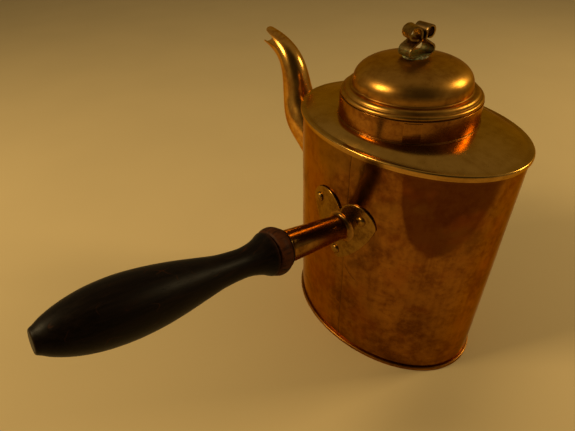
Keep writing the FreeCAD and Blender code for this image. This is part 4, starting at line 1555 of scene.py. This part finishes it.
# ---------------------------------------------------------------- spout
@dataclass
class SwanSpout:
    """The hollow swan-neck spout with its open beak, and the solder round its root.

    Attributes:
        oval: The wall's outside.
        finish: The spout's finish.
        solder: The solder's finish.
        root: Where its middle line leaves the wall.
        poles: The rest of its Bezier poles, from the root, as (X, Z).
        radii: Its outside radius at even steps.
        sheet: Thickness of the sheet.
        length: Length of the middle line.
        beak_depth: How far the beak's corner lies behind the tip.
        beak_lift: Height of that corner above the middle line.
        beak_upper: Slope of the beak's upper edge, in degrees.
        beak_lower: Slope of its lower edge, in degrees.
    """

    oval: Oval
    finish: AgedBrass
    solder: GreySolder
    root: Vector
    poles: tuple[Point, ...] = ((-12.8, 21.1), (-31.8, 24.4), (-25.0, 45.2), (-18.1, 65.0), (-57.1, 73.1))
    radii: tuple[float, ...] = (12.9, 14.5, 11.1, 8.7, 5.8)
    sheet: float = 0.9
    length: float = 100.4
    beak_depth: float = 12.3
    beak_lift: float = 1.5
    beak_upper: float = 11.5
    beak_lower: float = 21.0

    def line(self, share: float) -> tuple[Vector, Vector]:
        """Give the middle line's point and direction, straight before its start.

        Args:
            share: How far along the curve, below 0 before its start.

        Returns:
            The point and the unit direction.
        """
        spots = [self.root.copy()] + [self.root + Vector((x, 0, z)) for x, z in self.poles]
        t = max(share, 0.0)
        while len(spots) > 2:
            spots = [a.lerp(b, t) for a, b in zip(spots, spots[1:])]
        way = (spots[1] - spots[0]).normalized()
        return spots[0].lerp(spots[1], t) + way * min(share, 0.0) * self.length, way

    def skin(self, angle: float, share: float, grow: float) -> Vector:
        """Give a point of the tube, the angle measured from its upper side."""
        centre, way = self.line(share)
        up = Vector((way.z, 0, -way.x))
        radius = through(self.radii, share) + grow
        return centre + (up * math.cos(angle) + Vector((0, 1, 0)) * math.sin(angle)) * radius

    def start(self, angle: float, grow: float) -> float:
        """Find the share at which the tube leaves the wall."""
        return self.oval.leave(lambda share: self.skin(angle, share, grow), -0.1, -0.3, 0.45)

    def set_back(self, angle: float) -> float:
        """Give how far the beak's edge lies behind the tip at an angle from the top."""
        height = self.radii[-1] * math.cos(angle) - self.beak_lift
        slope = math.tan(math.radians(self.beak_upper if height > 0 else self.beak_lower))
        back = self.beak_depth - abs(height) / slope
        tongue_back, tongue_half = 1.3, 0.93
        tongue = tongue_back * min(abs(angle) / tongue_half, 1.0) ** 3
        return 0.5 * (back + math.hypot(back, 1.4)) + tongue * smoothstep(1.4, 0.9, abs(angle))

    def tube(self, steps: int = 128) -> bpy.types.Object:
        """Form the tube from the wall to the beak."""
        inside = TURN - self.sheet
        lip = rounded([Corner(TURN, 99.0), Corner(TURN, TURN, 0.35), Corner(inside, TURN, 0.35),
                       Corner(inside, 99.0)], closed=False)
        outer = run((TURN, 0.0), (TURN, 99.0), 88)
        inner = run((inside, 98.0), (inside, 0.0), 40) + [(inside, 0.0)]
        work = Workpiece().outline(outer + lip + inner).spin(steps)
        starts: dict[tuple[float, float], float] = {}

        def form(spot: Vector) -> Vector:
            """Bend a point of the straight tube along the swan neck."""
            angle = math.atan2(spot.y, spot.x)
            grow = math.hypot(spot.x, spot.y) - TURN
            key = (round(angle, 4), round(grow, 2))
            if key not in starts:
                starts[key] = self.start(angle, grow)
            end = 1 - self.set_back(angle) / self.length
            along = spot.z / TURN
            share = starts[key] + (end - starts[key]) * along
            wave = 0.07 * waviness(Vector((3 * math.cos(angle), 3 * math.sin(angle), 9 * along)), 1.6, 63.0)
            return self.skin(angle, share, grow + wave * math.sin(along * math.pi))

        work.press(form).settle()
        return work.finish("spout_tube", Body.POT, Slot.POLISHED, self.finish.make(), "spout")

    def corner(self, angle: float) -> tuple[Vector, Vector, Vector]:
        """Give the corner between wall and tube for the solder at an angle."""
        share = self.start(angle, 0.0)
        spot = self.skin(angle, share, 0.0)
        centre, way = self.line(share)
        return spot, self.oval.along_wall(spot, (spot - centre).normalized()), way

    def make(self) -> None:
        """Make the tube and the solder round its root."""
        self.tube()
        ring = Fillet(2.0, 2.2, 3.0).make(self.corner)
        ring.finish("spout_solder_ring", Body.POT, Slot.SOLDER, self.solder.make(), "spout_solder")


# ---------------------------------------------------------------- handle
@dataclass
class HandleMount:
    """The heart-shaped plate, its rivets, the socket tube, the brazed ring at its root and the pin.

    Attributes:
        oval: The wall's outside.
        frame: From the handle's own axis along +Z to its place.
        root_z: Height at which that axis meets the wall.
        tube_finish: The socket's finish.
        plate_finish: The finish of the plate and its rivets.
        thick: Thickness of the plate.
        plate_x: The plate's middle.
        notch_z: The heart's notch, heights measured from the root.
        lobe: The top of a lobe, from the middle.
        shoulder: The widest point.
        flank: A point of the lower side.
        point_z: The heart's point.
        rivets: Where the rivets sit, by name.
        tube_length: The socket's length.
        root_radius: Its outside radius at the plate.
        end_radius: Its outside radius at the grip.
        sheet: Its thickness.
        lip: Size of the lip at its end.
        pin_from_end: The pin's distance from the socket's end.
    """

    oval: Oval
    frame: Matrix
    root_z: float
    tube_finish: AgedBrass
    plate_finish: AgedBrass
    thick: float = 0.9
    plate_x: float = -1.5
    notch_z: float = 11.3
    lobe: Point = (13.5, 20.8)
    shoulder: Point = (25.2, 9.0)
    flank: Point = (17.6, -7.7)
    point_z: float = -27.2
    rivets: tuple[tuple[str, float, float], ...] = (
        ("rivet_upper_left", -18.6, 11.2), ("rivet_upper_right", 15.6, 11.6), ("rivet_lower", -2.0, -20.2),
    )
    tube_length: float = 49.0
    root_radius: float = 7.3
    end_radius: float = 9.4
    sheet: float = 0.9
    lip: float = 0.6
    pin_from_end: float = 9.0

    def heart(self) -> list[Point]:
        """Draw the heart's outline in the XZ plane."""
        lobe = arc_through((0.0, self.notch_z), self.lobe, self.shoulder, 18)
        side = arc_through(self.shoulder, self.flank, (0.0, self.point_z), 22)
        half = lobe + side[:-2]
        other = [(-x, z) for x, z in reversed(half[1:])]
        corners = [Corner(x, z) for x, z in half] + [Corner(0.0, self.point_z, 6.0)]
        corners += [Corner(x, z) for x, z in other]
        return [(self.plate_x + x, self.root_z + z) for x, z in rounded(corners, steps=5)]

    def plate(self, material: bpy.types.Material) -> bpy.types.Object:
        """Cut the heart from sheet, round its edge and bend it to the wall."""
        work = Workpiece().outline(self.heart())
        bmesh.ops.contextual_create(work.mesh, geom=work.mesh.edges)
        made = bmesh.ops.extrude_face_region(work.mesh, geom=work.mesh.faces[:])["geom"]
        front = [item for item in made if isinstance(item, bmesh.types.BMVert)]
        bmesh.ops.translate(work.mesh, verts=front, vec=(0, -self.thick, 0))
        work.settle()
        rim = [edge for edge in work.mesh.edges if all(vert.co.y < -self.thick / 2 for vert in edge.verts)]
        bmesh.ops.bevel(
            work.mesh, geom=rim, offset=0.42, segments=3, profile=0.5, affect="EDGES", material=-1,
            clamp_overlap=True,
        )
        low, high = span("handle_plate")
        count = 24
        cuts = [Vector((low.x + (high.x - low.x) * k / count, 0, 0)) for k in range(1, count)]
        work.slice_at(cuts, Vector((1, 0, 0)))
        levels = [Vector((0, 0, low.z + (high.z - low.z) * k / count)) for k in range(1, count)]
        work.slice_at(levels, Vector((0, 0, 1)))

        def bend(spot: Vector) -> Vector:
            """Wrap a point of the flat plate round the wall, with a little hand-made spring in it."""
            foot, normal = self.oval.front(spot.x)
            wave = 0.10 * waviness(spot, 11.0, 71.0) * -spot.y
            return Vector((foot.x, foot.y, spot.z)) + normal * (-spot.y + wave + 0.28)

        work.press(bend)
        return work.finish("heart_plate", Body.POT, Slot.PLATE, material, "handle_plate")

    def rivet(self, name: str, x: float, z: float, material: bpy.types.Material) -> bpy.types.Object:
        """Set one rivet, its head domed by the hammer and its tail spread inside.

        Args:
            name: The rivet's node.
            x: Its place from the plate's middle.
            z: Its place from the handle's root.
            material: Its finish.

        Returns:
            The finished rivet.
        """
        head, tall, shank, tail = 3.1, 1.8, 1.65, 2.6
        seat = self.thick + 0.25
        dome = quarter(head, tall, seat, 10, 0.85)[:-1]
        outline = dome + rounded([
            Corner(head, seat), Corner(shank, seat), Corner(shank, -0.9), Corner(tail, -0.9, 0.2),
            Corner(tail, -1.8, 0.5), Corner(0, -1.85),
        ], closed=False)
        foot, normal = self.oval.front(self.plate_x + x)
        place = Matrix.Translation(Vector((foot.x, foot.y, self.root_z + z)))
        place = place @ Vector((0, 0, 1)).rotation_difference(normal).to_matrix().to_4x4()
        work = Workpiece().outline(outline, closed=False).spin(48).uneven(0.09, 1.7, 75.0 + x).turn(place)
        return work.finish(name + "_head", Body.POT, Slot.PLATE, material, name)

    def radius(self, along: float) -> float:
        """Give the socket's outside radius at a distance from the root."""
        return self.root_radius + (self.end_radius - self.root_radius) * along / self.tube_length

    def meet_plate(self, spot: Vector) -> float:
        """Find where a line along the handle through a point leaves the plate."""
        grow = self.thick + 0.2
        return self.oval.leave(lambda along: self.frame @ Vector((spot.x, spot.y, along)), grow, -16.0, 16.0)

    def tube(self, material: bpy.types.Material) -> bpy.types.Object:
        """Roll the socket, its lip at the grip and its root cut to the plate."""
        end = self.tube_length
        lip_out = self.end_radius + self.lip
        rings = 24
        outer = [(self.radius(end * k / rings), end * k / rings) for k in range(rings)]
        lip = rounded([
            Corner(self.radius(end - 2.4), end - 2.4), Corner(self.end_radius, end - 1.5, 0.3),
            Corner(lip_out, end - 1.3, 0.5), Corner(lip_out, end, 0.55),
            Corner(self.end_radius - self.sheet, end, 0.3),
            Corner(self.radius(end - 3) - self.sheet, end - 3),
        ], closed=False)
        inner = [(self.radius(end * k / 12) - self.sheet, end * k / 12) for k in range(11, -1, -1)]
        work = Workpiece().outline([p for p in outer if p[1] < end - 2.5] + lip + inner).spin(112)

        def cut_root(spot: Vector) -> Vector:
            """Set the root on the plate and leave the tube a little out of round."""
            if spot.z < 0.01:
                return Vector((spot.x, spot.y, self.meet_plate(spot)))
            wave = 0.05 * waviness(spot, 9.0, 81.0)
            return spot + outward(spot) * wave

        work.press(cut_root).turn(self.frame)
        return work.finish("socket_tube", Body.POT, Slot.POLISHED, material, "handle_socket")

    def corner(self, angle: float) -> tuple[Vector, Vector, Vector]:
        """Give the corner between plate and socket for the braze at an angle."""
        out = Vector((math.cos(angle), math.sin(angle), 0))
        spot = out * self.root_radius
        spot.z = self.meet_plate(spot)
        turn = self.frame.to_3x3()
        place = self.frame @ spot
        return place, self.oval.along_wall(place, turn @ out), turn @ Vector((0, 0, 1))

    def pin(self, material: bpy.types.Material) -> bpy.types.Object:
        """Drive the small pin up through the underside of the socket."""
        along = self.tube_length - self.pin_from_end
        out = self.radius(along)
        head, tall, shank = 1.7, 0.7, 0.98
        outline = quarter(head, tall, out, 6) + rounded([
            Corner(head, out - 0.05), Corner(shank, out - 0.1), Corner(shank, 0.3, 0.3), Corner(0, 0.0),
        ], closed=False)
        place = self.frame @ Matrix.Translation((0, 0, along)) @ Matrix.Rotation(math.pi / 2, 4, "X")
        work = Workpiece().outline(outline, closed=False).spin(32).uneven(0.04, 1.0, 87.0).turn(place)
        return work.finish("socket_pin", Body.POT, Slot.PLATE, material, "handle_pin")

    def make(self) -> None:
        """Make the plate, rivets, socket, braze and pin."""
        plate_material = self.plate_finish.make()
        tube_material = self.tube_finish.make()
        self.plate(plate_material)
        for name, x, z in self.rivets:
            self.rivet(name, x, z, plate_material)
        self.tube(tube_material)
        braze = Fillet(3.0, 2.6, 7.0).make(self.corner)
        braze.finish("root_braze", Body.POT, Slot.PLATE, tube_material, "root_collar")
        self.pin(plate_material)


@dataclass
class TurnedGrip:
    """The turned wooden grip: tenon, fillet ring, bead, neck and swell.

    Attributes:
        frame: From the handle's own axis along +Z to its place.
        finish: The wood's finish.
        mount: The socket that it sits in.
        length: Length of the wood outside the socket.
        tenon: Length inside the socket.
        clearance: Between tenon and socket.
        profile: The swell, as (distance from the socket's end, radius).
        ring_radius: The fillet ring against the socket.
        groove_radius: The grooves each side of the bead.
        bead_radius: The bead.
        bead_shoulder: The bead's two sides.
        end_radius: The flat end of the grip.
    """

    frame: Matrix
    finish: EbonisedWood
    mount: HandleMount
    length: float = 122.8
    tenon: float = 34.0
    clearance: float = 0.15
    profile: tuple[Point, ...] = (
        (11.2, 12.0), (17.0, 9.4), (24.0, 7.9), (31.0, 7.75), (41.0, 8.5), (51.0, 10.3), (63.0, 12.5),
        (75.0, 14.1), (87.0, 14.7), (97.0, 14.1), (105.0, 12.7), (112.0, 10.6), (117.5, 8.2), (121.2, 5.9),
    )
    ring_radius: float = 11.3
    groove_radius: float = 11.0
    bead_radius: float = 13.4
    bead_shoulder: float = 12.2
    end_radius: float = 5.0

    def make(self) -> bpy.types.Object:
        """Turn the grip on its axis and set it in the socket."""
        seat = self.mount.tube_length
        start = seat - self.tenon
        thinner = self.mount.sheet + self.clearance
        bead_end = (self.bead_shoulder, seat + 9.4)
        bead = arc_through((self.bead_shoulder, seat + 2.0), (self.bead_radius, seat + 5.7), bead_end, 12)
        swell = smooth_run([(radius, seat + along) for along, radius in self.profile], 96)
        front = rounded([
            Corner(0, start), Corner(self.mount.radius(start) - thinner, start, 0.8),
            Corner(self.mount.radius(seat) - thinner, seat), Corner(self.ring_radius, seat, 0.35),
            Corner(self.ring_radius, seat + 1.1, 0.35), Corner(self.groove_radius - 0.5, seat + 1.55, 0.2),
            Corner(*bead[0]),
        ], closed=False)
        neck = rounded([
            Corner(*bead_end), Corner(self.groove_radius, seat + 9.8, 0.2),
            Corner(self.groove_radius + 0.1, seat + 10.3, 0.2), Corner(swell[0][0], seat + 11.0, 0.3),
            Corner(*swell[0]),
        ], closed=False)
        end = rounded([
            Corner(*swell[-1]), Corner(self.end_radius + 0.1, seat + self.length, 0.8),
            Corner(0, seat + self.length),
        ], closed=False, steps=6)
        outline = front[:-1] + bead + neck[:-1] + swell[:-1] + end
        work = Workpiece().outline(outline, closed=False).spin(128).uneven(0.10, 20.0, 95.0).turn(self.frame)
        material = self.finish.make()
        return work.finish("turned_grip", Body.POT, Slot.WOOD, material, "wooden_handle", sharp=50.0)


# ---------------------------------------------------------------- studio
@dataclass(frozen=True)
class Softbox:
    """A soft square lamp that points at the pot.

    Attributes:
        name: Its name.
        azimuth: Its direction from the pot, in degrees from +X towards +Y.
        elevation: Its height above level, in degrees.
        distance: From the pot, in millimetres.
        size: Its side, in millimetres.
        watts: Its power.
        colour: Its light.
    """

    name: str
    azimuth: float
    elevation: float
    distance: float
    size: float
    watts: float
    colour: Colour

    def make(self, target: Vector) -> None:
        """Hang the lamp."""
        light = bpy.data.lights.new(self.name, "AREA")
        light.shape = "SQUARE"
        light.size = self.size * MM
        light.energy = self.watts
        light.color = self.colour
        lamp = put(self.name, light)
        a, e = math.radians(self.azimuth), math.radians(self.elevation)
        way = Vector((math.cos(e) * math.cos(a), math.cos(e) * math.sin(a), math.sin(e)))
        lamp.location = (target + way * self.distance) * MM
        lamp.rotation_euler = way.to_track_quat("Z", "Y").to_euler()


@dataclass
class Studio:
    """The pale floor, the soft lamps, the dim room and the camera.

    Attributes:
        floor: The floor's finish.
        lamps: The soft lamps.
        room: The room's light.
        room_strength: Its strength.
        dark_side: How bright the side behind the camera is, as a share of the rest.
        camera_place: Where the camera stands.
        camera_aim: A point that it looks at.
        camera_roll: How far it is rolled, in degrees.
        lens: Its focal length, on a film 36 wide.
    """

    floor: PaleCard
    lamps: tuple[Softbox, ...]
    room: Colour = (1.0, 0.73, 0.36)
    room_strength: float = 0.20
    dark_side: float = 0.12
    camera_place: tuple[float, float, float] = (139.8, -209.5, 275.1)
    camera_aim: tuple[float, float, float] = (-61.9, -42.8, 74.0)
    camera_roll: float = -1.69
    lens: float = 27.43

    def lay_floor(self, size: float = 2400.0) -> None:
        """Lay the floor, just under the pot's resting face."""
        mesh = bmesh.new()
        bmesh.ops.create_grid(mesh, x_segments=24, y_segments=24, size=size * MM)
        bmesh.ops.translate(mesh, verts=mesh.verts, vec=(0, 0, CAD_BOX[0].z))
        data = bpy.data.meshes.new("floor")
        mesh.to_mesh(data)
        mesh.free()
        data.materials.append(self.floor.make())
        put("floor", data)

    def light_room(self) -> None:
        """Light the room evenly, but for its dark side behind the camera."""
        world = bpy.data.worlds.new("room")
        g = Graph("room", world)
        way = g.node("ShaderNodeTexCoord", output=0)
        behind = (Vector(self.camera_place) - Vector(self.camera_aim)).normalized()
        facing = g.node("ShaderNodeVectorMath", {"operation": "DOT_PRODUCT"}, {0: way, 1: tuple(behind)}, 1)
        light = tuple(self.room_strength * c for c in self.room)
        dark = tuple(self.dark_side * c for c in light)
        colour = g.mix(facing.ramp(0.55, 0.95), light, dark)
        background = g.node("ShaderNodeBackground", {}, {"Color": colour})
        out = g.tree.nodes.new("ShaderNodeOutputWorld")
        g.tree.links.new(background.socket, out.inputs[0])
        bpy.context.scene.world = world

    def set_camera(self) -> None:
        """Set the camera."""
        place, aim = Vector(self.camera_place), Vector(self.camera_aim)
        camera = put("camera", bpy.data.cameras.new("camera"))
        camera.data.sensor_width = FILM_WIDTH
        camera.data.lens = self.lens
        camera.data.clip_start = NEAR_CLIP
        turn = (place - aim).to_track_quat("Z", "Y").to_matrix()
        roll = Matrix.Rotation(math.radians(self.camera_roll), 3, "Z")
        camera.matrix_world = Matrix.Translation(place * MM) @ (turn @ roll).to_4x4()
        bpy.context.scene.camera = camera

    def make(self, target: Vector) -> None:
        """Set up the whole studio round a target."""
        self.lay_floor()
        for lamp in self.lamps:
            lamp.make(target)
        self.light_room()
        self.set_camera()
        bpy.context.scene.view_settings.view_transform = "Standard"


def main() -> None:
    """Build the pot piece by piece in its studio."""
    logging.basicConfig(level=logging.INFO, format="%(name)s %(message)s")
    warm = (1.0, 0.73, 0.35)
    Studio(
        floor=PaleCard("pale_card", (0.76, 0.61, 0.34)),
        lamps=(
            Softbox("key_softbox", -118.0, 36.0, 1100.0, 260.0, 5.6, warm),
            Softbox("rim_softbox", 60.0, 33.0, 1100.0, 260.0, 3.9, warm),
        ),
    ).make(LAMP_TARGET)

    low, high = span("body_wall")
    oval = Oval((high.x - low.x) / 2, (high.y - low.y) / 2)
    bright = ((0.34, 0.148, 0.024), (0.19, 0.068, 0.010), (0.060, 0.019, 0.004))
    spout_root = Vector((-oval.half_x, 0, SPOUT_ROOT_Z))
    OvalBody(
        oval,
        WallBrass("wall_brass", *bright, gloss=0.16, clouds=30.0, clouded=0.5, seed=1.0),
        SootedBrass("base_brass", *bright, gloss=0.30, clouds=20.0, clouded=0.7, seed=2.0),
        AgedBrass("top_brass", (0.54, 0.31, 0.070), (0.42, 0.225, 0.042), (0.17, 0.080, 0.016),
                  gloss=0.22, clouds=34.0, clouded=0.3, grain=Grain.ALONG_X, seed=3.0),
    ).make(spout_root)
    MouthCollar(SpunBrass("collar_brass", (0.36, 0.165, 0.030), (0.22, 0.085, 0.012), (0.08, 0.027, 0.005),
                          gloss=0.21, clouds=16.0, clouded=0.4, grain=Grain.LEVEL, seed=4.0)).make()
    DomedLid(SpunBrass("lid_brass", (0.48, 0.25, 0.048), (0.34, 0.160, 0.026), (0.13, 0.050, 0.010),
                       gloss=0.32, clouds=22.0, clouded=0.35, grain=Grain.EVEN, seed=5.0)).make()
    green_solder = GreySolder("green_solder", (0.24, 0.20, 0.12), (0.42, 0.46, 0.22), 0.8)
    grey_solder = GreySolder("grey_solder", (0.26, 0.18, 0.09), (0.24, 0.19, 0.09), 0.1)
    ScrollFinial(
        TarnishedStrip("finial_brass", (0.34, 0.22, 0.075), (0.17, 0.10, 0.034), (0.05, 0.028, 0.012),
                       gloss=0.30, clouds=7.0, clouded=0.7, grain=Grain.EVEN, seed=6.0),
        green_solder,
    ).make()
    SwanSpout(
        oval,
        # Partly painted reflection: these colours are brighter than the other brass to stand in for the
        # bright reflection along the spout's lit side.
        AgedBrass("spout_brass", (0.74, 0.40, 0.080), (0.54, 0.245, 0.042), (0.16, 0.060, 0.012),
                  gloss=0.19, clouds=18.0, clouded=0.4, seed=7.0),
        grey_solder, spout_root,
    ).make()
    root = Vector((0, -oval.half_y, HANDLE_ROOT_Z))
    lean = math.radians(90.0 - HANDLE_SLOPE)
    handle = Matrix.Translation(root) @ Matrix.Rotation(lean, 4, "X")
    mount = HandleMount(
        oval, handle, root.z,
        AgedBrass("socket_brass", (0.34, 0.185, 0.045), (0.22, 0.105, 0.020), (0.08, 0.032, 0.007),
                  gloss=0.21, clouds=14.0, clouded=0.45, seed=8.0),
        AgedBrass("plate_brass", (0.32, 0.180, 0.036), (0.20, 0.100, 0.016), (0.06, 0.024, 0.005),
                  gloss=0.26, clouds=12.0, clouded=0.55, grain=Grain.EVEN, seed=9.0),
    )
    mount.make()
    bead = (mount.tube_length + 1.6, mount.tube_length + 9.8)
    TurnedGrip(
        handle,
        EbonisedWood("ebonised_wood", (0.0040, 0.0022, 0.0013), (0.090, 0.027, 0.008), lean, root, bead),
        mount,
    ).make()


if __name__ == "__main__":
    main()
